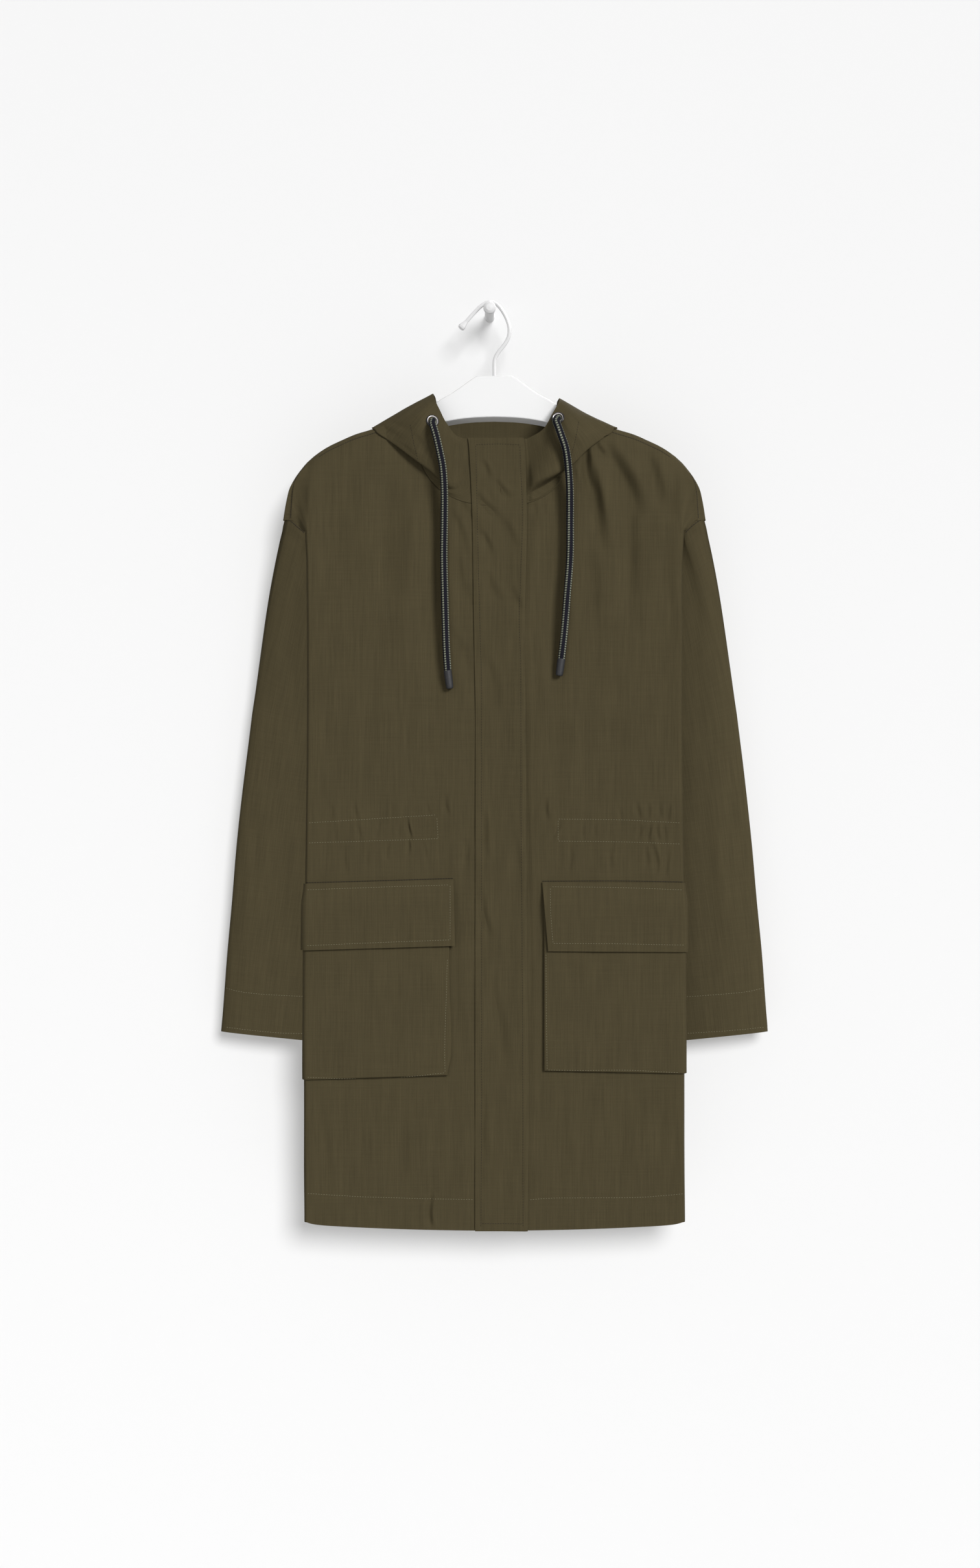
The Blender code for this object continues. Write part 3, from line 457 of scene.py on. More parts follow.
TIP_Z = float(ridge_z(TIP_X)) - SEAM_DROP
FOLD_HEM_Z = float(hem_z(start_s(HEM_MIDDLE_Z)))
BACK_NECK = 4
SHOULDER = 6
OVER_ARM = 6
FRONT_MAIN = 12
FRONT_NECK = 6
BACK_HALF = BACK_NECK + SHOULDER + OVER_ARM
NECK_SHARE = BACK_NECK / BACK_HALF
TIP_SHARE = (BACK_NECK + SHOULDER) / BACK_HALF
UNDERARM_SHARE = 11 / 15
BACK_NARROWS = 0.2
BACK_TOP_SHARE = 0.8
TAIL_UNITS = range(7)
TAIL_SHARES = (0, 0.096, 0.192, 0.288, 0.384, 0.69, 1)


def front_neck(side, share):
    """Front neck edge from the centre front, at 0, to the shoulder, at 1: s and z."""
    first = side * CENTRE_FRONT + SEAM_GAP / 2
    turn = np.asarray(share) * pi / 2
    top = ridge_z(NECK_X) - SEAM_DROP
    s = mix(first, NECK_X, np.sin(turn) ** NECK_ROUNDNESS)
    return s, mix(top, FRONT_NECK_Z, np.cos(turn) ** NECK_ROUNDNESS)


def over_arm(share):
    """Seam over the arm from the hanger's tip, at 0, to the armhole, at 1: x, out and z."""
    z = mix(TIP_Z, DROPS[0].z, share)
    return column(DROPS, "z", "seam_x", z), mix(SEAM_OUT, CAP_EDGE_OUT, share), z


def cap_edge(side, share):
    """Front armhole edge from the seam over the arm, at 0, to the side fold, at 1."""
    x, out, z = over_arm(1.0)
    quarter = level(ARMHOLE_FOLD_Z, "fold_radius") * pi / 2
    fold = front_point(side, start_s(ARMHOLE_FOLD_Z) + quarter, ARMHOLE_FOLD_Z)
    edge_z = mix(z, ARMHOLE_FOLD_Z, ease(0, 1, share))
    return place(mix(side * x, fold[..., 0], share), mix(out, -fold[..., 1], share), edge_z)


def front_row_end(z):
    """Length of a front's row beyond the start of the side fold."""
    radius = level(z, "fold_radius")
    wrapped = np.clip((ARMHOLE_FOLD_Z - z) / (ARMHOLE_FOLD_Z - UNDERARM_Z), 0.0, 1.0)
    whole = pi * radius + start_s(z) - SIDE_SEAM_X - SEAM_GAP / 2
    return mix(pi * radius / 2, whole, wrapped)


def shoulder_wrap(x):
    """The back's points over the ridge at places x: one row of points for each."""
    x = np.atleast_1d(x)[:, None]
    return place(x, WRAPS[:, 0], ridge_z(x) - WRAPS[:, 1])


def ridge_wrap(h):
    """The back's points over the ridge, at shares h from the centre to the armhole."""
    h = np.atleast_1d(h)
    on_hanger = np.clip((h - NECK_SHARE) / (TIP_SHARE - NECK_SHARE), 0, 1)
    start = shoulder_wrap(mix(NECK_X, TIP_X, on_hanger))
    share = np.clip((h - TIP_SHARE) / (1 - TIP_SHARE), 0, 1)
    seam_x, out, z = over_arm(share)
    ridge_out = RIDGE_OUT + OUTLINE_FORWARD * ease(0, 0.5, share)
    outline = place(column(DROPS, "z", "outline_x", z), ridge_out, z + OUTLINE_RISE * (1 - share))
    behind = outline + mix(BEHIND_TIP, BEHIND_ARM, share[:, None])
    seam = place(seam_x + OVER_SEAM, out - OVER_SEAM, z + OVER_SEAM_RISE * (1 - share))
    last = len(WRAPS) - 1
    cap = spline(np.stack((behind, outline, seam)), np.arange(last + 1) * 2 / last)
    return mix(start, np.swapaxes(cap, 0, 1), ease(0, 0.5, share)[:, None, None])


def back_top(h):
    """The back's point at the foot of the ridge, or on the neck edge, at shares h."""
    h = np.atleast_1d(h)
    top = shoulder_wrap(NECK_X)[0, 0]
    share = np.clip(h / NECK_SHARE, 0, 1)
    neck = place(NECK_X * share, -top[1], mix(BACK_NECK_Z, top[2], ease(0.1, 1.1, share)))
    return np.where((h < NECK_SHARE)[:, None], neck, ridge_wrap(h)[:, 0])


def back_point(side, h, share):
    """Points of the back below its ridge: h from the centre to the side, share from the hem up."""
    h, share = np.broadcast_arrays(np.asarray(h, float), np.asarray(share, float))
    top = back_top(h.ravel()).reshape(*h.shape, 3)
    corner = ridge_wrap(1.0)[0, 0]
    along = np.clip((share - UNDERARM_SHARE) / (1 - UNDERARM_SHARE), 0, 1)
    below = np.clip(share / UNDERARM_SHARE, 0, 1)
    edge_x = mix(SIDE_SEAM_X - SEAM_GAP / 2 * (along == 0), corner[0], along)
    edge_z = np.where(along > 0, mix(UNDERARM_Z, corner[2], along), mix(BACK_HEM_Z, UNDERARM_Z, below))
    x = edge_x * mix(h, top[..., 0] / corner[0], ease(UNDERARM_SHARE - BACK_NARROWS, 1.0, share))
    z = mix(BACK_HEM_Z, top[..., 2], share) + h**4 * (edge_z - mix(BACK_HEM_Z, corner[2], share))
    out = mix(back_out(x, z), -top[..., 1], ease(BACK_TOP_SHARE, 1.0, share))
    return place(side * x, out, z)


# Creases: soft troughs laid from one end to the other, and what shapes them all

Crease = namedtuple("Crease", "x0 z0 x1 z1 depth width")
SWAY = 0.045
SWAY_MOST = 2.4
SWAY_WAVES = 4.6
SWAY_SHIFT = 1.7
END_TAPER = 0.8
STEEP_SIDE = 0.75
GENTLE_SIDE = 1.4
TOP_WIDTH = 0.75
WIDENS = 0.5
LIP_HEIGHT = 0.38
LIP_PLACE = 1.9
LIP_SHARPNESS = 1.3


def creases_in(table, x, z):
    """How deep the creases are at x and z; each trough has a low lip on both sides."""
    total = np.zeros(np.broadcast(x, z).shape)
    for row, crease in enumerate(table):
        dx, dz = crease.x1 - crease.x0, crease.z1 - crease.z0
        length = np.hypot(dx, dz)
        along = ((x - crease.x0) * dx + (z - crease.z0) * dz) / length**2
        off = ((x - crease.x0) * dz - (z - crease.z0) * dx) / length
        sway = np.minimum(SWAY * length, SWAY_MOST)
        off = off + sway * np.sin(SWAY_WAVES * along + SWAY_SHIFT * row)
        along = np.clip(along, 0, 1)
        reach = np.sin(pi * along) ** END_TAPER
        lean = np.where(off * np.sign(dz) > 0, STEEP_SIDE, GENTLE_SIDE)
        q = np.abs(off) / (lean * crease.width * (TOP_WIDTH + WIDENS * along))
        lip = LIP_HEIGHT * np.exp(-((q - LIP_PLACE) ** 2) * LIP_SHARPNESS)
        total += crease.depth * reach * (np.exp(-q * q) - lip)
    return total


def outward(grid, flip):
    """Unit normals of a grid of points."""
    across = np.gradient(grid, axis=1)
    up = np.gradient(grid, axis=0)
    normal = np.cross(across, up)
    normal /= np.maximum(np.linalg.norm(normal, axis=-1, keepdims=True), 1e-9)
    return -normal if flip else normal


def press(grid, flip, depth):
    """A grid of cloth, pressed inwards by the depth at each of its points."""
    return grid - outward(grid, flip) * np.asarray(depth)[..., None]


CREASE_ROWS = {
    "front_right": (
        (98.5, -156, 121, -275, 4.6, 8), (100.5, -152, 110, -206, 2.8, 3.6),
        (113.5, -150, 121, -168, 2.6, 3.6), (123, -149, 162, -238, 5.0, 10),
        (166, -160, 188, -236, 2.6, 8), (36, -170, 37, -224, 1.6, 2.5),
        (37.5, -230, 39, -1010, 0.7, 2.6), (87.1, -179.8, 93.6, -215.8, 0.8, 5),
        (199.4, -176.2, 203.8, -237.4, 0.7, 4), (59, -212.2, 54, -237.4, 0.9, 3),
        (46.8, -218, 44.6, -237.4, 1, 2.5), (72, -198, 65, -412, 5.4, 10),
        (147.6, -230.2, 154.8, -367, 1.6, 9), (192.2, -259, 196.6, -388.6, 1.0, 7),
        (106, -250, 108, -372, 1.2, 8), (48.2, -309.4, 45.4, -453.4, 0.9, 6),
        (56.9, -548.4, 59, -572.9, 1.57, 2.5), (159.1, -551.3, 160.6, -572.9, 1.4, 2.2),
        (171.4, -552.8, 169.9, -571.5, 1.22, 2), (193, -554.2, 193.7, -575.8, 1.57, 2.2),
        (183.6, -551.3, 186.5, -574.4, 0.88, 2), (138.2, -554.2, 139.7, -572.9, 0.7, 2),
        (161.3, -574.4, 160.6, -594.5, 1.22, 1.8), (173.5, -572.9, 171.4, -598.8, 1.93, 2),
        (181.4, -574.4, 182.9, -600.3, 1.22, 1.8), (189.4, -572.9, 187.9, -600.3, 1.05, 1.8),
        (127.4, -574.4, 128.2, -596, 0.79, 1.8), (98.6, -574.4, 99.4, -596, 0.7, 1.8),
        (113, -575.8, 110.2, -591.6, 0.88, 1.6), (176.4, -597.4, 180.7, -634.8, 1.57, 2.4),
        (191.5, -597.4, 192.2, -637.7, 1.22, 2.4), (131, -597.4, 129.6, -629.8, 0.88, 2.4),
        (170.6, -598.8, 167.8, -626.2, 0.88, 2.2), (84.2, -598.8, 82.8, -633.4, 0.61, 2.6),
        (73.4, -572.9, 64.1, -597.4, 1.05, 2.5), (45.4, -640.6, 51.1, -705.4, 0.6, 5),
        (77, -885.4, 79.9, -986.2, 0.5, 6), (141.8, -878.2, 138.2, -993.4, 0.5, 7),
        (185, -885.4, 182.2, -1000.6, 0.4, 6),
    ),
    "front_left": (
        (-50.4, -226.6, -28.1, -282, 1, 5), (-46.1, -273.4, -25.2, -334.6, 0.8, 5),
        (-39.6, -208.6, -26.6, -237.4, 0.7, 3.5), (-52.6, -352.6, -28.1, -410.2, 0.6, 6),
        (-69, -190, -63, -436, 6.4, 11), (-117.4, -179.8, -120.2, -309.4, 0.5, 8),
        (-154.8, -165.4, -160.6, -287.8, 0.5, 7), (-185.8, -179.8, -189.4, -280.6, 0.5, 6),
        (-139, -367, -141.8, -511, 0.4, 8), (-88.6, -410.2, -91.4, -539.8, 0.4, 7),
        (-185.8, -381.4, -187.2, -525.4, 0.4, 6), (-181.4, -554.2, -181.4, -575.8, 1.24, 2.2),
        (-175.7, -580.1, -175.7, -597.4, 0.93, 1.8), (-154.1, -551.3, -153.4, -574.4, 1.08, 2.2),
        (-151.2, -574.4, -150.5, -597.4, 1.24, 1.8), (-129.6, -570, -129.6, -596, 1.08, 1.6),
        (-104.4, -571.5, -105.1, -594.5, 0.93, 1.6), (-95, -570, -94.3, -594.5, 1.71, 1.7),
        (-95, -593.1, -95.8, -610.4, 1.24, 1.8), (-118.8, -594.5, -118.8, -617.6, 1.4, 1.8),
        (-53.3, -544.1, -52.6, -567.2, 1.55, 2.2), (-74.2, -551.3, -73.4, -570, 0.62, 1.8),
        (-113.8, -554.2, -113, -571.5, 0.62, 1.8), (-139, -596, -140.4, -626.2, 0.62, 2.4),
        (-164.2, -597.4, -166.3, -633.4, 0.62, 2.4), (-77.8, -594.5, -77, -623.3, 0.54, 2.2),
        (-36.7, -590.2, -29.5, -629.8, 0.7, 4), (-33.8, -619, -26.6, -597.4, 0.6, 3),
        (-41.8, -719.8, -36.7, -849.4, 0.6, 5), (-146.2, -885.4, -149, -993.4, 0.5, 7),
        (-103, -878.2, -98.6, -986.2, 0.5, 6), (-70, -986, -70.6, -1034, 2.4, 3),
        (-189.4, -885.4, -187.9, -1000.6, 0.4, 6),
    ),
    "storm_flap": (
        (-15.1, -171.2, -5, -192.8, 0.5, 3.5), (-0.7, -195.6, 19.4, -215.8, 0.5, 4),
        (-20.9, -206.4, 3.6, -241, 0.6, 5), (-15.1, -248.2, -5, -279.2, 0.5, 4),
        (5, -237.4, 26.6, -273.4, 0.4, 6), (-10.8, -295, 5, -331, 0.4, 6),
        (19.4, -309.4, 31, -352.6, 0.35, 5), (-13, -381.4, 1.4, -453.4, 0.35, 7),
        (-15.1, -561.4, -7.9, -619, 0.5, 5), (-13, -655, -7.9, -705.4, 0.5, 5),
        (-2.2, -741.4, 6.5, -842.2, 0.35, 7), (19.4, -583, 26.6, -669.4, 0.3, 6),
        (-15.1, -871, -9.4, -957.4, 0.4, 6),
    ),
    "sleeve_left": (
        (-231.2, -240.8, -232.7, -262.6, 0.8, 2), (-224.6, -242.2, -225.4, -264.1, 0.8, 2),
        (-218.8, -246.6, -219.5, -269.9, 0.9, 2.2), (-237.8, -237.8, -240, -259.7, 0.5, 2),
        (-242.9, -277.2, -261.1, -452.3, 0.6, 8), (-224.6, -306.4, -228.3, -488.8, 0.7, 9),
        (-264.8, -488.8, -275.7, -671.2, 0.5, 9), (-235.6, -561.8, -242.9, -729.6, 0.6, 9),
        (-285.2, -598.3, -289.6, -744.2, 0.4, 6),
    ),
    "sleeve_right": (
        (232.1, -239.3, 233.5, -261.2, 0.8, 2), (224.1, -242.2, 224.8, -264.1, 0.8, 2),
        (218.2, -246.6, 218.9, -271.4, 0.9, 2.2), (240.1, -237.8, 243, -259, 0.5, 2),
        (245.9, -277.2, 263.5, -452.3, 0.6, 8), (224.1, -306.4, 229.9, -488.8, 0.7, 9),
        (264.2, -488.8, 276.6, -671.2, 0.5, 9), (238.6, -561.8, 245.9, -729.6, 0.6, 9),
        (282.4, -591, 289.7, -744.2, 0.4, 6),
    ),
    "hood_left": (
        (-129.6, -134.4, -101.5, -148.1, 0.6, 4), (-120.2, -129.4, -88.6, -135.2, 0.5, 3.5),
        (-97.2, -122.2, -74.2, -109.2, 0.5, 3), (-88.6, -142.4, -77.8, -165.4, 0.5, 3.5),
        (-110.2, -153.9, -82.8, -171.2, 0.5, 3.5), (-74.2, -148.1, -68.4, -174, 0.5, 4),
        (-54, -145.2, -39.6, -165.4, 0.6, 5), (-45.4, -165.4, -33.8, -208.6, 0.5, 5),
    ),
    "hood_right": (
        (78.5, -142.4, 100.8, -166.8, 0.6, 4), (87.8, -129.4, 114.5, -142.4, 0.5, 3.5),
        (59.8, -139.5, 54, -158.2, 0.6, 4), (98.6, -133, 126, -139.5, 0.4, 3),
        (84.2, -158.2, 92.9, -174, 0.5, 3),
    ),
    "back": (
        (-60, -380, -72, -620, 0.9, 9), (-20, -400, -14, -700, 0.7, 10),
        (38, -380, 46, -640, 0.8, 9), (92, -420, 96, -720, 0.6, 9),
        (-110, -420, -118, -760, 0.7, 9), (-88, -548, -86, -575, 0.8, 2.6),
        (-52, -570, -53, -600, 0.9, 2.4), (-18, -552, -16, -598, 0.7, 2.4),
        (24, -566, 22, -606, 0.9, 2.4), (58, -550, 60, -596, 0.6, 2.6),
        (101, -560, 99, -604, 0.8, 2.4), (-90, -780, -84, -1000, 0.6, 10),
        (10, -800, 4, -1005, 0.6, 11), (80, -790, 90, -1000, 0.6, 10),
    ),
}
CREASES = {piece: [Crease(*row) for row in rows] for piece, rows in CREASE_ROWS.items()}

# Pieces sewn with dark thread
DARK_SEWN = ("storm_flap", "hood_left", "hood_right")

# Rows of stitches that show from the front: x and z
SEWING = {
    "storm_flap": (
        (
            (-20.9, -155.3), (-19.8, -199.2), (-18.7, -257.6), (-16.6, -340.4), (-14.4, -423.9),
            (-14.5, -493), (-14.5, -885.4), (-15.1, -1024.4),
        ),
        ((-20.9, -155), (5, -153.9), (28.1, -155.3)),
        ((-14, -1021), (31, -1021)),
        (
            (28.1, -156.8), (29.9, -199.2), (31, -238.1), (28.8, -309.4), (27.4, -352.6),
            (29.2, -411.6), (29.5, -554.2), (30.2, -669.4), (31.4, -842.2), (31.7, -1024.4),
        ),
    ),
    "front_left": (
        ((-206.6, -575.8), (-136.1, -571.4), (-65.2, -567)),
        ((-64.1, -570), (-62.6, -593.1)),
        ((-206.6, -598.1), (-118.1, -595.2), (-62.6, -593.4)),
        ((-208.1, -987.6), (-147.6, -991.2), (-72.7, -993.4), (-23.8, -994.5)),
    ),
    "front_right": (
        ((70.6, -571.5), (134.6, -572.2), (205.9, -575.8)),
        ((70.6, -572.9), (70.6, -595.2)),
        ((70.6, -596), (134.6, -596.7), (205.9, -599.2)),
        ((38.9, -994.8), (66.2, -992.7), (149, -992.3), (181.4, -990.5), (209.5, -988)),
    ),
    "pocket_flap_left": (
        ((-208.1, -650), (-128.2, -647.1), (-51.1, -644.6)),
        ((-49.3, -644.9), (-49.3, -705.4)),
        ((-208.1, -711.9), (-128.2, -708.3), (-49.7, -705.4)),
    ),
    "pocket_flap_right": (
        ((63.4, -646.7), (134.6, -647.4), (208.1, -650)),
        ((61.9, -647.8), (62.3, -676.6), (64.8, -709)),
        ((64.8, -709.4), (134.6, -709.7), (210.2, -711.2)),
    ),
    "pocket_left": (
        ((-52.2, -727), (-54, -781.7), (-55.4, -830), (-54.7, -852.3)),
        ((-208.1, -858), (-163.4, -859.5), (-101.5, -857.7), (-55.4, -853)),
    ),
    "pocket_right": (
        ((56.9, -721.2), (57.6, -784.6), (58.3, -849.4)),
        ((59, -849.8), (100.1, -850.5), (145.4, -850.1), (203.8, -853)),
    ),
    "sleeve_left": (
        ((-303.4, -762.8), (-285.9, -766.8), (-258.2, -769.7), (-215.2, -771.9)),
        ((-302.7, -806.9), (-276.5, -809.8), (-244.3, -812.8), (-215.9, -813.9)),
    ),
    "sleeve_right": (
        ((302.9, -762.8), (283.9, -766.8), (251.8, -769.7), (215.7, -772.3)),
        ((304.3, -806.9), (267.8, -810.2), (216.8, -813.5)),
    ),
    "hood_left": (
        ((-93.6, -133), (-89.3, -155.3), (-85, -172.6)),
    ),
    "hood_right": (
        ((93.6, -129.4), (89.3, -152.4), (84.2, -171.2)),
    ),
}

# Painted shade along seams: rows of dark thread stand in for the thin shadow in each seam's fold, on the
# shoulders, above the pocket flaps, over the arms and at the armholes
SHOULDER_LINE_DROP = 6.5
OVER_ARM_LINE_ASIDE = 1.0
SHOULDER_XS = range(96, 206, 10)
OVER_ARM_ZS = (-186, -195, -208, -222, -236)
SEAM_SHADE_LINES = {
    "front_left": [
        [(-x, float(ridge_z(x)) - SHOULDER_LINE_DROP) for x in SHOULDER_XS],
        [(-209, -642.2), (-128, -640), (-46, -637.4)],
    ],
    "front_right": [
        [(x, float(ridge_z(x)) - SHOULDER_LINE_DROP) for x in SHOULDER_XS],
        [(52.6, -640.6), (134, -640.2), (209, -641.4)],
    ],
    "back": [
        [(side * (float(column(DROPS, "z", "seam_x", z)) + OVER_ARM_LINE_ASIDE), z) for z in OVER_ARM_ZS]
        for _, side in SIDES
    ],
    "sleeve_left": [[(-235, -237), (-228.3, -238.6), (-219.5, -246), (-212.2, -252)]],
    "sleeve_right": [[(237, -236.6), (229.5, -238.2), (220.9, -244.4), (213.1, -252)]],
}

# Rows of stitches on the side that faces the wall
REAR_SEWING = {
    "back": (
        ((-176, -574), (-60, -571), (60, -571), (176, -574)),
        ((-176, -598), (-60, -595), (60, -595), (176, -598)),
        ((-178, -989), (-70, -992), (70, -992), (178, -989)),
    ),
    "sleeve_left": SEWING["sleeve_left"],
    "sleeve_right": SEWING["sleeve_right"],
}


# Materials


class Wire:
    """A socket of a material's nodes. Arithmetic on it adds Math nodes."""

    def __init__(self, tree, socket=None):
        self.tree = tree
        self.socket = socket

    def node(self, kind, settings=None, sockets=None, out=0):
        """A new node: its settings are set first, then its sockets get their values or links."""
        made = self.tree.nodes.new(kind)
        for name, value in (settings or {}).items():
            setattr(made, name, value)
        for name, value in (sockets or {}).items():
            if isinstance(value, Wire):
                self.tree.links.new(value.socket, made.inputs[name])
            else:
                made.inputs[name].default_value = value
        return Wire(self.tree, made.outputs[out]) if made.outputs else None

    def maths(self, operation, first, second):
        return self.node("ShaderNodeMath", {"operation": operation}, {0: first, 1: second})

    def __add__(self, other):
        return self.maths("ADD", self, other)

    def __radd__(self, other):
        return self.maths("ADD", other, self)

    def __sub__(self, other):
        return self.maths("SUBTRACT", self, other)

    def __mul__(self, other):
        return self.maths("MULTIPLY", self, other)

    def blend(self, first, second):
        """The first colour where this is 0, and the second where it is 1."""
        return self.node("ShaderNodeMix", {"data_type": "RGBA"}, {0: self, 6: first, 7: second}, 2)

    def bump(self, strength, depth):
        """The normal of a surface with this height, in metres at its deepest."""
        sockets = {"Strength": strength, "Distance": depth, "Height": self}
        return self.node("ShaderNodeBump", None, sockets)

    def noise(self, scale, detail=2.0, rough=0.5):
        """Noise on this vector, scaled along each of its axes."""
        moved = self.node("ShaderNodeMapping", None, {"Vector": self, "Scale": scale})
        sockets = {"Vector": moved, "Scale": 1.0, "Detail": detail, "Roughness": rough}
        return self.node("ShaderNodeTexNoise", {"noise_dimensions": "3D"}, sockets)

    def bands(self, scale, turn=0.0):
        """Even waves on this vector along its first axis, as many in a metre as scale."""
        moved = self.node("ShaderNodeMapping", None, {"Vector": self, "Rotation": (0, 0, turn)})
        settings = {"wave_type": "BANDS", "bands_direction": "X", "wave_profile": "SIN"}
        sockets = {"Vector": moved, "Scale": scale * pi / 10, "Distortion": 0.0}
        return self.node("ShaderNodeTexWave", settings, sockets, out=1)


def new_material(name):
    made = bpy.data.materials.new(name)
    made.use_nodes = True
    made.node_tree.nodes.clear()
    return made, Wire(made.node_tree)


def surface(made, wire, sockets):
    """Ends a material: its surface, with the values or links of the shader's sockets."""
    shader = wire.node("ShaderNodeBsdfPrincipled", None, sockets)
    wire.node("ShaderNodeOutputMaterial", None, {"Surface": shader})
    return made


def shade(colour, factor):
    return (*(channel * factor for channel in colour), 1.0)


def cloth_finish(name, colour):
    """Plain-woven cotton: slubs along the warp, a finer weft, and uneven dye."""
    made, wire = new_material(name)
    cloth = wire.node("ShaderNodeTexCoord", out="UV")
    warp = cloth.noise((760, 22, 1), 3.0)
    slub = cloth.noise((230, 9, 1), 2.0)
    weft = cloth.noise((20, 620, 1), 3.0)
    dye = cloth.noise((45, 20, 1), 3.0)
    thread = cloth.bands(1900) * 0.5 + cloth.bands(1700, pi / 2) * 0.5
    depth = warp * 0.5 + slub * 0.22 + weft * 0.2 + dye * 0.2 - 0.06
    height = warp * 0.6 + slub * 0.5 + weft * 0.3 + thread * 0.22
    sockets = {
        "Base Color": depth.blend(shade(colour, 0.56), shade(colour, 1.44)),
        "Roughness": 0.72 + warp * 0.16,
        "Specular IOR Level": 0.04,
        "Normal": height.bump(0.3, 0.0006),
    }
    return surface(made, wire, sockets)


def thread_finish(name, colour):
    """Sewing thread, with a fine twist."""
    made, wire = new_material(name)
    spot = wire.node("ShaderNodeTexCoord", out="Object")
    fleck = spot.noise((900, 900, 900), 2.0)
    sockets = {
        "Base Color": fleck.blend(shade(colour, 0.7), shade(colour, 1.3)),
        "Roughness": 0.75,
        "Specular IOR Level": 0.2,
    }
    return surface(made, wire, sockets)


def cord_finish(name, dark, light):
    """Braid: dark with pale strands where the cord's own attribute says so."""
    made, wire = new_material(name)
    strand = wire.node("ShaderNodeAttribute", {"attribute_name": "strand"}, None, out="Fac")
    cloth = wire.node("ShaderNodeTexCoord", out="UV")
    fuzz = cloth.noise((2600, 2600, 1), 2.0)
    pale = fuzz.blend(shade(light, 0.72), shade(light, 1.22))
    deep = fuzz.blend(shade(dark, 0.7), shade(dark, 1.4))
    sockets = {
        "Base Color": strand.blend(deep, pale),
        "Roughness": 0.72 + fuzz * 0.16,
        "Specular IOR Level": 0.08,
        "Normal": fuzz.bump(0.4, 0.0004),
    }
    return surface(made, wire, sockets)


def plain_finish(name, colour, roughness, vary, grain, bump):
    """A smooth finish with faint unevenness in colour, gloss and surface."""
    made, wire = new_material(name)
    spot = wire.node("ShaderNodeTexCoord", out="Object")
    cloud = spot.noise((30, 30, 30), 3.0)
    fine = spot.noise((grain, grain, grain), 2.0)
    height = fine * 0.6 + cloud * 0.4
    sockets = {
        "Base Color": cloud.blend(shade(colour, 1 - vary), shade(colour, 1 + vary)),
        "Roughness": roughness - 0.06 + fine * 0.12,
        "Normal": height.bump(bump, 0.0004),
    }
    return surface(made, wire, sockets)


def eyelet_finish(name, colour):
    """Dark nickel, with a painted highlight: the inner rim is coloured bright all round, as if it catches
    the light.
    """
    made, wire = new_material(name)
    radius = wire.node("ShaderNodeAttribute", {"attribute_name": "radius"}, None, out="Fac")
    spot = wire.node("ShaderNodeTexCoord", out="Object")
    fine = spot.noise((900, 900, 900), 2.0)
    settings = {"interpolation_type": "SMOOTHSTEP"}
    sockets = {"Value": radius + fine * 0.3, 1: 5.6, 2: 6.1, 3: 0.0, 4: 1.0}
    rim_highlight = wire.node("ShaderNodeMapRange", settings, sockets)
    sockets = {
        # Painted highlight: bright colour inside a radius of about 5.6 to 6.1 mm, dark nickel outside it
        "Base Color": rim_highlight.blend(shade(colour, 2.3), shade(colour, 0.06)),
        "Roughness": 0.24 + fine * 0.12,
        "Metallic": 0.55,
        "Normal": fine.bump(0.1, 0.0003),
    }
    return surface(made, wire, sockets)


def stage_finish(name, colour):
    """Pale paint that only shows from its front, so that it hides nothing from behind."""
    made, wire = new_material(name)
    spot = wire.node("ShaderNodeTexCoord", out="Object")
    tone = spot.noise((0.8, 0.8, 0.8), 1.0).blend(shade(colour, 0.99), shade(colour, 1.01))
    dull = spot.noise((0.8, 0.8, 0.8), 1.0).blend(shade(colour, 0.57), shade(colour, 0.59))
    paint = wire.node("ShaderNodeBsdfDiffuse", None, {"Color": dull})
    glow = wire.node("ShaderNodeEmission", None, {"Color": tone, "Strength": 0.36})
    front = wire.node("ShaderNodeAddShader", None, {0: paint, 1: glow})
    clear = wire.node("ShaderNodeBsdfTransparent")
    behind = wire.node("ShaderNodeNewGeometry", out="Backfacing")
    shader = wire.node("ShaderNodeMixShader", None, {0: behind, 1: front, 2: clear})
    wire.node("ShaderNodeOutputMaterial", None, {"Surface": shader})
    return made


# Making pieces


def to_mesh(bm, name):
    """The mesh of what was built, which is then let go."""
    mesh = bpy.data.meshes.new(name)
    bm.to_mesh(mesh)
    bm.free()
    return mesh


def cloth_mesh(name, grid, cut, flip=False, closed=False):
    """A mesh of cloth: grid holds each row's points, with no number where nothing is cut.

    cut holds the same points on the flat cloth, in millimetres.
    """
    rows, columns = grid.shape[0] - 1, grid.shape[1] - 1
    bm = bmesh.new()
    bmesh.ops.create_grid(bm, x_segments=columns, y_segments=rows, size=0.5)
    flat = bm.loops.layers.uv.new("cloth")
    spare = []
    for corner in bm.verts:
        i = round((corner.co.x + 0.5) * columns)
        j = round((corner.co.y + 0.5) * rows)
        point = grid[j, i]
        if np.isnan(point[0]):
            spare.append(corner)
            continue
        corner.co = ((point[0] + GARMENT_X) * MM, point[1] * MM, point[2] * MM)
        for loop in corner.link_loops:
            loop[flat].uv = cut[j, i] * MM
    bmesh.ops.delete(bm, geom=spare, context="VERTS")
    if closed:
        bmesh.ops.remove_doubles(bm, verts=bm.verts, dist=CLOSE_GAP * MM)
    if flip:
        bmesh.ops.reverse_faces(bm, faces=bm.faces)
    for edge in bm.edges:
        edge.smooth = not edge.is_boundary
    mesh = to_mesh(bm, name)
    mesh.shade_smooth()
    return mesh


def keep(name, mesh, material, node=None):
    """A finished piece: it rides on the body, and stands for a solid where one is named."""
    made = bpy.data.objects.new(name, mesh)
    bpy.context.scene.collection.objects.link(made)
    made.data.materials.clear()
    made.data.materials.append(material)
    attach(made, "root")
    if node:
        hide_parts(node)
    return made


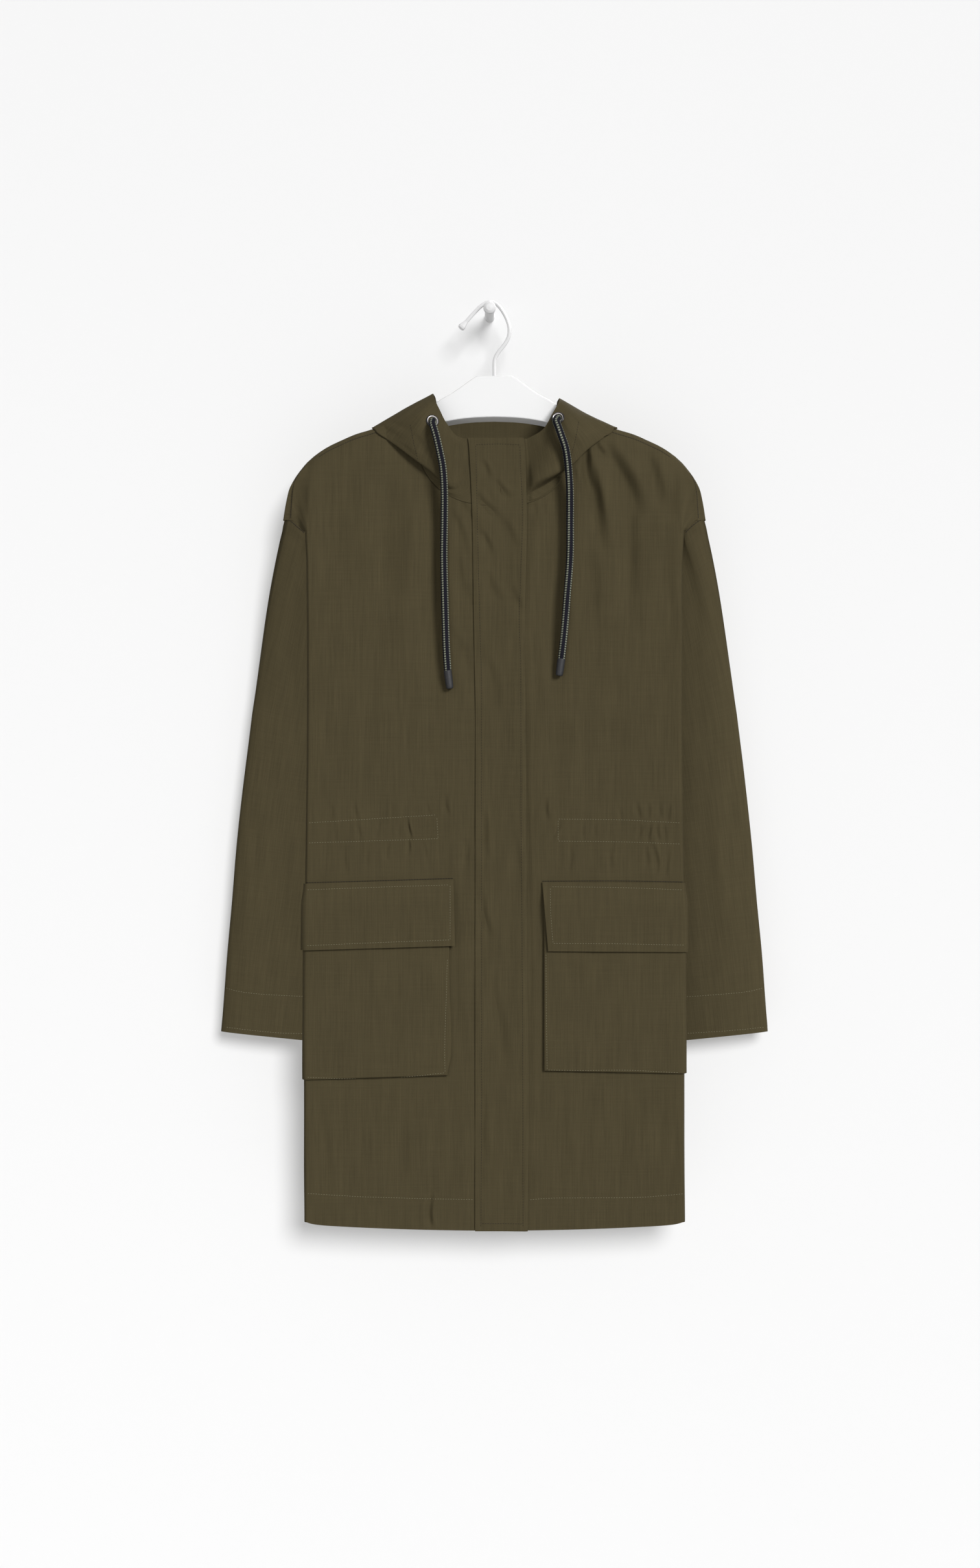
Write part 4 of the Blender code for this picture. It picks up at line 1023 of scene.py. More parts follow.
def cloth_piece(node, grid, cut, wall, flip=False, closed=False):
    """A solid's piece of the shell cloth, with a wall behind its outer face."""
    material = bpy.data.materials.get("parka_cloth")
    if material is None:
        material = cloth_finish("parka_cloth", bpy.context.scene.parka_colours.cloth)
    mesh = cloth_mesh(node + "_cloth", grid, cut, flip, closed)
    made = keep(mesh.name, mesh, material, node)
    thick = made.modifiers.new("wall", "SOLIDIFY")
    thick.thickness = wall * MM
    thick.offset = -1
    return made


def flat_cut(across, up):
    """Points on the flat cloth from the distance across it and up it."""
    return np.stack(np.broadcast_arrays(across, up), -1)


def grown(grid, axis):
    """Length along the rows or columns of a grid, averaged over the others."""
    steps = np.linalg.norm(np.diff(grid, axis=axis), axis=-1)
    mean = np.nanmean(steps, axis=1 - axis)
    return np.concatenate(((0.0,), np.cumsum(mean)))


# Sizes and colours


def thickness(name, about, value, low, high):
    """A size in metres, with the range it may take."""
    return FloatProperty(
        name=name, description=about, default=value, min=low, max=high, unit="LENGTH", precision=5
    )


def dye(name, about, value):
    """A colour, as red, green and blue light."""
    return FloatVectorProperty(name=name, description=about, subtype="COLOR", default=value)


class ParkaSizes(bpy.types.PropertyGroup):
    """Sizes of the parka's cloth, sewing and cords."""

    wall: thickness("Cloth Wall", "Thickness of one layer of the shell cloth", 0.0009, 0.0003, 0.0015)
    crease: FloatProperty(
        name="Crease Depth",
        description="How deep the creases are, against those of the photograph",
        default=1.2,
        min=0.0,
        max=2.0,
        subtype="FACTOR",
    )
    stitch: thickness("Stitch Length", "From one stitch to the next", 0.0029, 0.002, 0.005)
    cord: thickness("Cord Diameter", "Thickness of the drawcord", 0.0084, 0.004, 0.009)
    cord_sides: IntProperty(
        name="Cord Sides",
        description="Facets around the drawcord",
        default=40,
        min=12,
        max=64,
    )


class ParkaColours(bpy.types.PropertyGroup):
    """Colours of the parka and of what it hangs on."""

    cloth: dye("Cloth", "Shell cloth", (0.0475, 0.0385, 0.0198))
    thread: dye("Thread", "Sewing thread", (0.13, 0.118, 0.072))
    # The dark thread also draws the painted shade lines along the seams
    dark_thread: dye("Dark Thread", "Thread of the storm flap and hood", (0.018, 0.014, 0.008))
    cord: dye("Cord", "Dark strands of the drawcord", (0.006, 0.006, 0.0095))
    strand: dye("Strand", "Pale strands of the drawcord", (0.19, 0.2, 0.15))
    dip: dye("Dip", "Dipped ends of the drawcord", (0.011, 0.011, 0.013))
    eyelet: dye("Eyelet", "Metal of the eyelets", (0.32, 0.3, 0.3))
    hanger: dye("Hanger", "Plastic of the hanger", (0.535, 0.535, 0.535))
    wall: dye("Wall", "Wall and floor", (0.86, 0.86, 0.86))


# Stage


class PARKA_OT_stage(bpy.types.Operator):
    """Sets the camera, the soft light, the wall and the floor"""

    bl_idname = "parka.stage"
    bl_label = "Set the Stage"

    def execute(self, context):
        scene = context.scene
        scene.view_settings.view_transform = "Standard"
        lens = bpy.data.cameras.new("camera")
        lens.sensor_fit = "VERTICAL"
        lens.sensor_height = CAMERA_SENSOR
        lens.lens = CAMERA_LENS
        lens.clip_end = CAMERA_REACH
        camera = bpy.data.objects.new("camera", lens)
        camera.location = CAMERA_PLACE
        camera.rotation_euler = (pi / 2, 0, 0)
        scene.collection.objects.link(camera)
        scene.camera = camera
        world = bpy.data.worlds.new("room")
        world.use_nodes = True
        wire = Wire(world.node_tree)
        world.node_tree.nodes.clear()
        sky = wire.node("ShaderNodeBackground", None, {"Color": (1, 1, 1, 1), "Strength": SKY_STRENGTH})
        wire.node("ShaderNodeOutputWorld", None, {"Surface": sky})
        scene.world = world
        paint = stage_finish("wall_paint", scene.parka_colours.wall)
        upright = Matrix.Translation((0, 0, WALL_MIDDLE_Z)) @ Matrix.Rotation(pi / 2, 4, "X")
        self.panel("wall", upright, paint)
        self.panel("floor", Matrix.Translation((0, -ROOM_HALF, FLOOR_Z)), paint)
        return {"FINISHED"}

    def panel(self, name, matrix, paint):
        bm = bmesh.new()
        bmesh.ops.create_grid(bm, x_segments=1, y_segments=1, size=ROOM_HALF, matrix=matrix)
        mesh = to_mesh(bm, name)
        mesh.materials.append(paint)
        made = bpy.data.objects.new(name, mesh)
        bpy.context.scene.collection.objects.link(made)


# Drawcords

# The way in through the eyelet: how far along its axis, and how far below it
CORD_LEAD = ((-5.0, 1.0), (3.0, 1.4))
POINTS_A_STEP = 12
BRAID_PITCH = 2.7
BRAID_COLUMNS = 4
BRAID_ROW = 0.45
BRAID_INSET = 0.2
STRAND_SLANT = 0.9
PALE_SIDE = (0.13, 0.2)
PALE_END = (-0.75, 0.1)
PALE_BULGE = 0.32
DARK_BULGE = 0.16
BRAID_TURN = {"left": (-0.5, 0.0), "right": (0.0, -0.28)}
# The dipped end: how far along it, and its width against the braid's
TIP_STEPS = (
    (-0.5, 1.0), (0, 1.06), (0.3, 1.04), (0.7, 1.0), (0.95, 0.93), (1.03, 0.78), (1.05, 0.5), (1.05, 0.02),
)
TIP_OVERLAP = 0.06
TIP_LENGTH = 18
TIP_ROWS = 28
TIP_SIDES = 24


def cord_line(word):
    """A drawcord's way from inside its eyelet to its dipped end, every few millimetres."""
    centre, normal = (np.array(part) for part in EYELETS[word])
    route = [(x, -out, z) for x, out, z in CORD_ROUTES[word]]
    lead = [centre + along * normal - (0, 0, below) for along, below in CORD_LEAD]
    points = np.array(lead + route)
    return spline(points, np.linspace(0, len(points) - 1, POINTS_A_STEP * len(points)))


def around(ahead):
    """Unit directions across and in front of a line that goes ahead."""
    ahead = ahead / np.linalg.norm(ahead, axis=-1, keepdims=True)
    across = np.cross(ahead, (0.0, -1.0, 0.0))
    across /= np.linalg.norm(across, axis=-1, keepdims=True)
    return across, np.cross(across, ahead)


class PARKA_OT_cords(bpy.types.Operator):
    """Braids both drawcord ends and dips their tips"""

    bl_idname = "parka.cords"
    bl_label = "Drawcords"

    def execute(self, context):
        sizes = context.scene.parka_sizes
        colours = context.scene.parka_colours
        braid = cord_finish("cord_braid", colours.cord, colours.strand)
        dip = plain_finish("cord_dip", colours.dip, 0.66, vary=0.3, grain=700, bump=0.35)
        radius = sizes.cord / MM / 2
        for word, _ in SIDES:
            line = cord_line(word)
            grid, cut, strand = self.tube(line, radius, word, sizes.cord_sides)
            mesh = cloth_mesh("cord_" + word + "_braid", grid, cut, closed=True)
            self.paint(mesh, strand, cut)
            made = keep(mesh.name, mesh, braid, "cord_" + word)
            tip = self.tip(word, line, radius, dip)
        return {"FINISHED"}

    def tube(self, line, radius, word, sides):
        """Points around and along a braid, its flat cut, and where its pale strands lie."""
        long = lengths(line)[-1]
        rows = round(long / BRAID_ROW)
        middle = walk(line, np.linspace(0, 1, rows + 1))
        across, front = around(np.gradient(middle, axis=0))
        turn = np.linspace(0, 2 * pi, sides + 1)[None, :]
        down = np.linspace(0, long, rows + 1)[:, None]
        first, twist = BRAID_TURN[word]
        lay = turn + first + twist * down / 100
        column_turn = (lay * BRAID_COLUMNS / (2 * pi) + 0.5) % 1 - 0.5
        aside = np.abs(column_turn)
        wave = np.cos(2 * pi * (down / BRAID_PITCH + STRAND_SLANT * aside))
        pale = (1 - ease(*PALE_SIDE, aside)) * ease(*PALE_END, wave)
        fine = np.cos(2 * pi * (down / BRAID_PITCH - STRAND_SLANT * aside))
        bulge = PALE_BULGE * pale + DARK_BULGE * (1 - pale) * fine
        size = (radius - BRAID_INSET + bulge)[..., None]
        grid = middle[:, None] + size * (
            np.sin(turn)[..., None] * across[:, None] + np.cos(turn)[..., None] * front[:, None]
        )
        return grid, flat_cut(turn * radius, down), pale

    def paint(self, mesh, strand, cut):
        """Marks the pale strands on the mesh, by each corner's place on the flat cut."""
        rows, columns = strand.shape
        loops = len(mesh.loops)
        uv = np.zeros(loops * 2, np.float32)
        mesh.uv_layers[0].data.foreach_get("uv", uv)
        uv = uv.reshape(-1, 2) / MM
        i = np.rint(uv[:, 0] / cut[0, -1, 0] * (columns - 1)).astype(int)
        j = np.rint(uv[:, 1] / cut[-1, 0, 1] * (rows - 1)).astype(int)
        corner = np.zeros(loops, np.int32)
        mesh.loops.foreach_get("vertex_index", corner)
        value = np.zeros(len(mesh.vertices), np.float32)
        value[corner] = strand[j, i]
        mesh.attributes.new("strand", "FLOAT", "POINT").data.foreach_set("value", value)

    def tip(self, word, line, radius, dip):
        """The dipped end, a little thicker than the braid and pinched at its end."""
        reach = CORD_TIPS[word]
        along = np.array((reach[0], -reach[1], reach[2]))
        steps = spline(TIP_STEPS, np.linspace(0, len(TIP_STEPS) - 1, TIP_ROWS + 1))
        across, front = around(along)
        turn = np.linspace(0, 2 * pi, TIP_SIDES + 1)[None, :]
        at = np.maximum(steps[:, 0], -TIP_OVERLAP)
        size = steps[:, 1, None] * radius * (1 + uneven(TIP_WAVES, 3 * turn, 40 * at[:, None]))
        ring = np.sin(turn)[..., None] * across + np.cos(turn)[..., None] * front
        grid = line[-1] + at[:, None, None] * along + size[..., None] * ring
        cut = flat_cut(turn * radius, at[:, None] * TIP_LENGTH)
        mesh = cloth_mesh("cord_" + word + "_tip", grid, cut, closed=True)
        return keep(mesh.name, mesh, dip, "cord_tip_" + word)


# Fronts

FRONT_ROWS = 300
FRONT_COLUMNS = 116
TAIL_COLUMNS = 26
CAP_FULLNESS = 5
# How far a face has to turn forwards, or to the wall, before its creases show
FACING = (-0.2, 0.5)
HEM_STIFF = 12.0


def front_grid(side):
    """Points of a front with its dropped shoulder, and their places on the flat cut."""
    z = np.linspace(FOLD_HEM_Z, TIP_Z, FRONT_ROWS + 1)[:, None]
    main_unit = np.linspace(0, FRONT_MAIN, FRONT_COLUMNS + 1)
    share = (z - FOLD_HEM_Z) / (TIP_Z - FOLD_HEM_Z)
    across = main_unit / FRONT_MAIN
    neck_s, neck_z = front_neck(side, np.clip(main_unit / FRONT_NECK, 0, 1))
    on_shoulder = np.clip((main_unit - FRONT_NECK) / (FRONT_MAIN - FRONT_NECK), 0, 1)
    shoulder_s = mix(NECK_X, start_s(TIP_Z), on_shoulder)
    at_neck = main_unit <= FRONT_NECK
    top_s = np.where(at_neck, neck_s, shoulder_s)
    top_z = np.where(at_neck, neck_z, ridge_z(shoulder_s) - SEAM_DROP)
    low_s = mix(side * CENTRE_FRONT + SEAM_GAP / 2, start_s(FOLD_HEM_Z), across)
    main_z = mix(hem_z(low_s), top_z, share)
    straight = mix(start_s(FOLD_HEM_Z), start_s(TIP_Z), share)
    main_s = mix(low_s, top_s, share) + across**4 * (start_s(main_z) - straight)
    main = front_point(side, main_s, main_z)

    along = np.linspace(0, 1, TAIL_COLUMNS + 1)[1:]
    tail_share = np.interp(along * OVER_ARM, TAIL_UNITS, TAIL_SHARES)
    tail_s = start_s(z) + tail_share * front_row_end(z)
    tail = front_point(side, tail_s, z)
    down = np.clip((TIP_Z - z) / (TIP_Z - ARMHOLE_FOLD_Z), 0, 1)
    fold = front_point(side, start_s(z), z)
    tip = front_point(side, start_s(TIP_Z), TIP_Z)
    seam_x, _, seam_z = over_arm(along)
    last = cap_edge(side, down)
    bow = place(side * seam_x, 0, seam_z) - mix(tip, cap_edge(side, 0.0), along[:, None])
    cap = mix(fold, last, along[None, :, None]) + (1 - down)[..., None] * bow * (1, 0, 1)
    forward = 1 - (1 - along) ** CAP_FULLNESS
    cap[..., 1] = mix(fold[..., 1], last[..., 1], forward)
    fold_s, corner = start_s(ARMHOLE_FOLD_Z), cap_edge(side, 1.0)
    lowest_s = fold_s + tail_share * front_row_end(ARMHOLE_FOLD_Z)
    lowest = front_point(side, lowest_s, ARMHOLE_FOLD_Z)
    chord = mix(front_point(side, fold_s, ARMHOLE_FOLD_Z), corner, along[:, None])
    chord[:, 1] = mix(chord[0, 1], corner[1], forward)
    cap = cap + ease(0.0, 1.0, down)[..., None] ** 2 * (lowest - chord)
    beyond = np.where((z < ARMHOLE_FOLD_Z)[..., None], tail, cap)
    grid = np.concatenate((main, beyond), axis=1)
    cut_s = np.concatenate((main_s, np.broadcast_to(tail_s, beyond.shape[:2])), axis=1)
    return grid, flat_cut(side * cut_s, grid[..., 2])


class PARKA_OT_fronts(bpy.types.Operator):
    """Cuts both fronts, with their folds and the gathers at the waist"""

    bl_idname = "parka.fronts"
    bl_label = "Fronts"

    def execute(self, context):
        sizes = context.scene.parka_sizes
        for word, side in SIDES:
            grid, cut = front_grid(side)
            x, z = grid[..., 0], grid[..., 2]
            name = "front_" + word
            facing = ease(*FACING, -outward(grid, side < 0)[..., 1])
            depth = facing * creases_in(CREASES[name], x, z)
            depth = depth + uneven(FRONT_WAVES, cut[..., 0], z) + uneven(FRONT_FINE_WAVES, cut[..., 0], z)
            grid = press(grid, side < 0, sizes.crease * depth * ease(0, HEM_STIFF, z - z.min()))
            made = cloth_piece(name, grid, cut, sizes.wall / MM, side < 0)
        return {"FINISHED"}


# Back

BACK_COLUMNS = 96
BACK_ROWS = 190
WRAP_ROWS = 14
BACK_CUT_HALF = 215
SEAM_TUCK = 0.25
SEAM_LAP = 0.1
CAP_FORWARD = 0.6
LAST_WRAP_MOVE = (0, -0.7, -0.5)
BACK_CREASES = 2.2
UNDER_HOOD = (-260, -200)


def shoulder_seam(h):
    """The edge of the fronts along the shoulder and over the arm, at shares h."""
    on_hanger = np.clip((h - NECK_SHARE) / (TIP_SHARE - NECK_SHARE), 0, 1)
    x = mix(NECK_X, TIP_X, on_hanger)
    share = np.clip((h - TIP_SHARE) / (1 - TIP_SHARE), 0, 1)
    seam_x, _, z = over_arm(share)
    cap = place(seam_x, mix(SEAM_OUT, CAP_EDGE_OUT, share**CAP_FORWARD) - SEAM_TUCK, z)
    shoulder = place(x, SEAM_OUT - SEAM_TUCK, ridge_z(x) - SEAM_DROP - SEAM_LAP)
    return mix(shoulder, cap, ease(0, 0.5, share)[:, None])


def back_grid():
    """Points of the back, over the shoulder ridge to the seams in front of it, and its flat cut."""
    unit = np.linspace(-1, 1, BACK_COLUMNS + 1)
    side, h = np.where(unit < 0, -1, 1), np.abs(unit)
    share = np.linspace(0, 1, BACK_ROWS + 1)[:, None]
    body = back_point(side[None, :], h[None, :], share)
    over = spline(np.swapaxes(ridge_wrap(h), 0, 1), np.linspace(0, len(WRAPS) - 1, WRAP_ROWS + 1)[1:])
    over[-1] += LAST_WRAP_MOVE
    over = np.concatenate((over, shoulder_seam(h)[None]))
    over = over * np.stack((side, side * 0 + 1, side * 0 + 1), -1)
    over[:, h < NECK_SHARE - 1e-6] = np.nan
    grid = np.concatenate((body, over))
    up = np.concatenate((body[:, 0, 2], body[-1, 0, 2] + grown(over, 0) + 3))
    return grid, flat_cut(np.broadcast_to(unit * BACK_CUT_HALF, grid.shape[:2]), up[:, None])


class PARKA_OT_back(bpy.types.Operator):
    """Cuts the back, with long soft folds below the hood"""

    bl_idname = "parka.back"
    bl_label = "Back"

    def execute(self, context):
        sizes = context.scene.parka_sizes
        grid, cut = back_grid()
        bare = np.nan_to_num(grid)
        x, z = bare[..., 0], bare[..., 2]
        rear = ease(*FACING, outward(bare, True)[..., 1])
        depth = rear * BACK_CREASES * creases_in(CREASES["back"], x, z) + uneven(BACK_WAVES, x, z)
        depth = depth * ease(0, HEM_STIFF, z - np.nanmin(grid[..., 2])) * (1 - ease(*UNDER_HOOD, z))
        grid = np.where(np.isnan(grid), np.nan, press(bare, True, sizes.crease * depth))
        made = cloth_piece("back", grid, cut, sizes.wall / MM, True)
        return {"FINISHED"}


# Sleeves

ARM_AROUND = 108
ARM_LOW_ROWS = 110
ARM_TOP_ROWS = 66
ARM_MIDDLE_Z = -600.0
ARM_CURVE_POWER = 1.3
ARM_DEPTH_POWER = 1.6
ARM_HEM_STIFF = 10
ARMHOLE_STIFF = 6
# How far a sleeve's edge is tucked under the body's, outwards, to the wall and up: over the arm,
# along the front, behind the outline and down the back
TUCKS = np.array(((-0.8, 0.3, 0.8), (-0.4, 1.2, 1.0), (-0.8, -0.3, 0.8), (-1.0, -1.1, 0.3)))
# The creases behind a sleeve are those in front, with their ends moved: x and z of each
REAR_MOVES = (7, -9, -6, 12)
SLEEVE_FACING = (0.0, 0.5)


def armhole(side):
    """The armhole's two edges, front and back, from the outline's point to the underarm."""
    top = ridge_wrap(1.0)[0] * (side, 1, 1)
    over = spline(top, np.linspace(2, 5, 10))
    cap = cap_edge(side, np.linspace(0, 1, 10))
    share = np.linspace(0, 1, 16)[1:]
    z = mix(ARMHOLE_FOLD_Z, UNDERARM_Z, share)
    edge = front_point(side, start_s(z) + front_row_end(z), z)
    low = edge + place(0, -1.3 - 1.7 * share, 0.8 - 3.5 * share)
    tucks = TUCKS * (side, 1, 1)
    fronts = np.concatenate((over + tucks[0], cap + tucks[1], low))
    rear = spline(top, np.linspace(1.7, 1, 4)) + tucks[2]
    down = back_point(side, 1.0, np.linspace(1, UNDERARM_SHARE, 14)[:-1]) + tucks[3]
    return fronts, np.concatenate((fronts[:1], rear, down, fronts[-1:]))


def arm_ring(side, z, turn):
    """Points of a sleeve's rings: turn 0 outer edge, 90 degrees front, 180 inner edge."""
    arm = {name: column(ARMS, "z", name, z) for name in ARMS[0]._fields[1:]}
    across = np.abs(np.cos(turn)) ** ARM_SQUARENESS * np.sign(np.cos(turn))
    deep = np.abs(np.sin(turn)) ** ARM_SQUARENESS * np.sign(np.sin(turn))
    half = (arm["outer_x"] - arm["inner_x"]) / 2
    x = (arm["outer_x"] + arm["inner_x"]) / 2 + half * across
    lower = arm["drop"] * (1 - across) / 2
    return place(side * x, ARM_OUT + arm["half_depth"] * deep, z - lower)


def sleeve_grid(side):
    """Points of a sleeve from its end to the armhole, and its flat cut."""
    dense = np.linspace(0, 2 * pi, 721)
    gone = lengths(arm_ring(side, ARM_MIDDLE_Z, dense))
    turn = np.interp(np.linspace(0, gone[-1], ARM_AROUND + 1), gone, dense)
    turn[-1] = 2 * pi
    z = np.linspace(ARMS[0].z, ARMS[-1].z, ARM_LOW_ROWS + 1)[:, None]
    low = arm_ring(side, z, turn[None, :])
    fronts, backs = armhole(side)
    edges = np.where((turn <= pi)[:, None], walk(fronts, turn / pi), walk(backs, 2 - turn / pi))
    up = np.linspace(0, 1, ARM_TOP_ROWS + 1)[1:, None]
    top = mix(low[-1], edges, up[..., None])
    top[..., 0] += side * ARM_CURVE * np.sin(pi * up**ARM_CURVE_POWER) * (1 + np.cos(turn)) / 2
    top[..., 1] = mix(low[-1, :, 1], edges[:, 1], up**ARM_DEPTH_POWER)
    grid = np.concatenate((low, top))
    across = np.linspace(0, gone[-1], ARM_AROUND + 1)
    return grid, flat_cut(across[None, :], grown(grid, 0)[:, None])


class PARKA_OT_sleeves(bpy.types.Operator):
    """Cuts both sleeves, with creases that fade out at their ends"""

    bl_idname = "parka.sleeves"
    bl_label = "Sleeves"

    def execute(self, context):
        sizes = context.scene.parka_sizes
        for word, side in SIDES:
            grid, cut = sleeve_grid(side)
            normal = outward(grid, side > 0)
            x, z = grid[..., 0], grid[..., 2]
            name = "sleeve_" + word
            depth = ease(*SLEEVE_FACING, -normal[..., 1]) * creases_in(CREASES[name], x, z)
            rear = [Crease(*np.add(row[:4], REAR_MOVES), *row[4:]) for row in CREASES[name]]
            depth = depth + ease(*SLEEVE_FACING, normal[..., 1]) * creases_in(rear, x, z)
            depth = depth + uneven(SLEEVE_WAVES, x, z, side)
            depth = depth * ease(0, ARM_HEM_STIFF, z - z.min(axis=0))
            depth = depth * ease(0, ARMHOLE_STIFF, z.max(axis=0) - z)
            depth[:, -1] = depth[:, 0]
            grid = press(grid, side > 0, sizes.crease * depth)
            grid[:, -1] = grid[:, 0]
            made = cloth_piece(name, grid, cut, sizes.wall / MM, side > 0, closed=True)
        return {"FINISHED"}


# Hood

HOOD_AROUND = 120
HOOD_ACROSS = 90
HOOD_FACING = (0.1, 0.5)
FRONT_SEAM_END = 0.985
BULGE_RISE = 0.3
SEAM_BLEND = 0.08
HOOD_EDGE_STIFF = 0.06
HOOD_CENTRE_STIFF = 8
# Places along the seam: where the right rim is moved, the corner, and how far the front lies flat
RIM_MOVED = (0.72, 1.3)
CORNER = (0.9, 1.2)
LIES_FLAT = {-1: 0.4, 1: 0.3}
HOOD_MIDDLE_X = 40
SEAM_REACH = 7
CENTRE_OVERLAP = 0.15


def neck_edge(side, seam):
    """Points on the neck edge: 0 centre front, 1 shoulder, 2 centre back."""
    share = np.linspace(0, 1, 61)
    fronts = front_point(side, *front_neck(side, share))
    inwards = np.stack((-fronts[:, 0], fronts[:, 0] * 0, NECK_MIDDLE_Z - fronts[:, 2]), -1)
    inwards /= np.linalg.norm(inwards, axis=1, keepdims=True)
    inwards = mix(np.array((0.0, 0.0, 1.0)), inwards, ease(0, 0.4, share)[:, None])
    fronts += LAID_GAP * (inwards + place(0, 4 * ease(0.4, 0.9, share), 0))
    over = spline(shoulder_wrap(NECK_X)[0, ::-1], np.linspace(0, 5, 16))
    rear = back_top(NECK_SHARE * np.linspace(1, 0, 31)[1:])
    behind = np.concatenate((over, rear)) * (side, 1, 1) + (0, 0, LAID_GAP)
    behind[-1, 0] = side * -CENTRE_OVERLAP
    line = np.concatenate((fronts, behind))
    front_seams, over_seams = FRONT_SEAM_END * share, np.linspace(1, OVER_RIDGE, 16)
    knots = np.concatenate((front_seams, over_seams, np.linspace(OVER_RIDGE, 2, 31)[1:]))
    return np.stack([np.interp(seam, knots, line[:, k]) for k in range(3)], -1)


def off_body(points):
    """Points of the hood, moved clear of the shoulder that they lie on."""
    x, out, z = points[..., 0], -points[..., 1], points[..., 2]
    top = ridge_z(x)
    near, high = out - ROUND_OUT, z - top + ROUND
    scale = np.maximum(ROUND_LIES / np.maximum(np.hypot(near, high), 1e-6), 1.0)
    rounded = place(x, ROUND_OUT + near * scale, top - ROUND + high * scale)
    over = place(x, out, np.maximum(z, top - np.interp(out, WRAPS[:, 0], WRAPS[:, 1]) + HOOD_LIES))
    before = place(x, np.maximum(out, front_out(x, z) + HOOD_LIES), z)
    behind = place(x, np.minimum(out, back_out(x, z) - HOOD_LIES), z)
    tests = (
        np.abs(x) < HOOD_MIDDLE_X,
        (out < ROUND_OUT) & (z > top - ROUND),
        z > top + HOOD_LIES,
        (out < SEAM_OUT) & (z > top - SEAM_REACH),
        out > RIDGE_OUT,
    )
    choices = (points, rounded, points, over, before)
    return np.select([test[..., None] for test in tests], choices, behind)


def hood_grid(side):
    """Points of half the hood, from the neck seam to the rim and round from the front to the back."""
    across = np.linspace(0, 1, HOOD_ACROSS + 1)
    seam = np.linspace(0, 2, HOOD_AROUND + 1)
    sections = []
    stations = HOOD_RIGHT if side > 0 else HOOD
    for station in stations:
        rows = np.array((station[1:4], station[4:7], station[7:10]), float)
        if side > 0 and RIM_MOVED[0] < station.seam < RIM_MOVED[1]:
            rows[2] += (HOOD_RIGHT_RIM_ASIDE, -HOOD_RIGHT_RIM_DROP, 0)
        if station.seam == 0:
            rows[:, 0] = side * CENTRE_FRONT + SEAM_GAP / 2
        if station.seam < LIES_FLAT[side]:
            rows[:, 2] = front_out(side * rows[:, 0], rows[:, 1])
        crest, roll, rim = place(side * rows[:, 0], rows[:, 2], rows[:, 1])
        rise = HOOD_CORNER_RISE - HOOD_RIGHT_CORNER_DROP * (side > 0)
        rise = rise * (CORNER[0] < station.seam < CORNER[1])
        middle = (roll + rim) / 2 + (0, -station.bulge, BULGE_RISE * abs(station.bulge) + rise)
        control = np.stack((neck_edge(side, station.seam), crest, roll, middle, rim))
        sections.append(spline(control, across * 4))
    at = np.interp(seam, [station.seam for station in stations], range(len(stations)))
    grid = np.swapaxes(off_body(spline(np.array(sections), at)), 0, 1)
    gap = neck_edge(side, seam) - grid[0]
    grid = grid + (1 - ease(0, SEAM_BLEND, across))[:, None, None] * gap
    return grid, flat_cut(side * grown(grid[:40], 1)[None, :], grown(grid, 0)[:, None])


class PARKA_OT_hood(bpy.types.Operator):
    """Lays both halves of the hood back over the shoulders"""

    bl_idname = "parka.hood"
    bl_label = "Hood"

    def execute(self, context):
        sizes = context.scene.parka_sizes
        for word, side in SIDES:
            grid, cut = hood_grid(side)
            normal = outward(grid, side < 0)
            x, z = grid[..., 0], grid[..., 2]
            name = "hood_" + word
            depth = ease(*HOOD_FACING, -normal[..., 1]) * creases_in(CREASES[name], x, z)
            depth = depth + uneven(HOOD_WAVES, x, z, side)
            inside = ease(0, HOOD_EDGE_STIFF, np.linspace(0, 1, HOOD_ACROSS + 1))[:, None]
            inside = inside * ease(0, HOOD_CENTRE_STIFF, np.abs(x))
            grid = press(grid, side < 0, sizes.crease * depth * inside)
            made = cloth_piece(name, grid, cut, sizes.wall / MM, side < 0)
        return {"FINISHED"}


# Storm flap, pockets and their flaps

FLAP_COLUMNS = 40
FLAP_ROWS = 350
FLAP_WALL = 1.2
FLAP_STANDS = 0.1
FREE_EDGE_LIFT = 1.4
FREE_EDGE_TURN = 1.0
FLAP_CREASES = 3
FLAP_HEM_STIFF = 8


class PARKA_OT_storm_flap(bpy.types.Operator):
    """Lays the storm flap over the closure"""

    bl_idname = "parka.storm_flap"
    bl_label = "Storm Flap"

    def execute(self, context):
        sizes = context.scene.parka_sizes
        z = np.linspace(FLAP[0].z, FLAP[-1].z, FLAP_ROWS + 1)[:, None]
        across = np.linspace(0, 1, FLAP_COLUMNS + 1)[None, :]
        x = mix(column(FLAP, "z", "left_x", z), column(FLAP, "z", "right_x", z), across)
        turned = FREE_EDGE_TURN * ease(0.95, 1.0, across)
        lift = FLAP_WALL + FREE_EDGE_LIFT * ease(0.5, 0.93, across) - turned + FLAP_STANDS
        grid = place(x, front_out(x, z) + lift, np.broadcast_to(z, x.shape))
        depth = FLAP_CREASES * creases_in(CREASES["storm_flap"], x, z) + uneven(FLAP_WAVES, x, z)
        grid = press(grid, False, sizes.crease * depth * ease(0, FLAP_HEM_STIFF, z - z.min()))
        cut = flat_cut(x, np.broadcast_to(z, x.shape))
        made = cloth_piece("storm_flap", grid, cut, FLAP_WALL)
        return {"FINISHED"}


def laid_s(inner, z, k):
    """Distance from the middle line of a laid piece's columns, which end round the side fold."""
    flat = mix(inner, start_s(z), np.minimum(k / FLAT_COLUMNS, 1))
    return flat + SIDE_TURN * level(z, "fold_radius") * np.maximum(k - FLAT_COLUMNS, 0) / TURN_COLUMNS


# The gusset's section, from the front to the pocket's face: how far outside the edge, and how far up
GUSSET_STEPS = np.array(((1.2, 0.0), (1.1, 0.3), (0.9, 0.65), (0.5, 0.92), (-0.3, 1.0)))


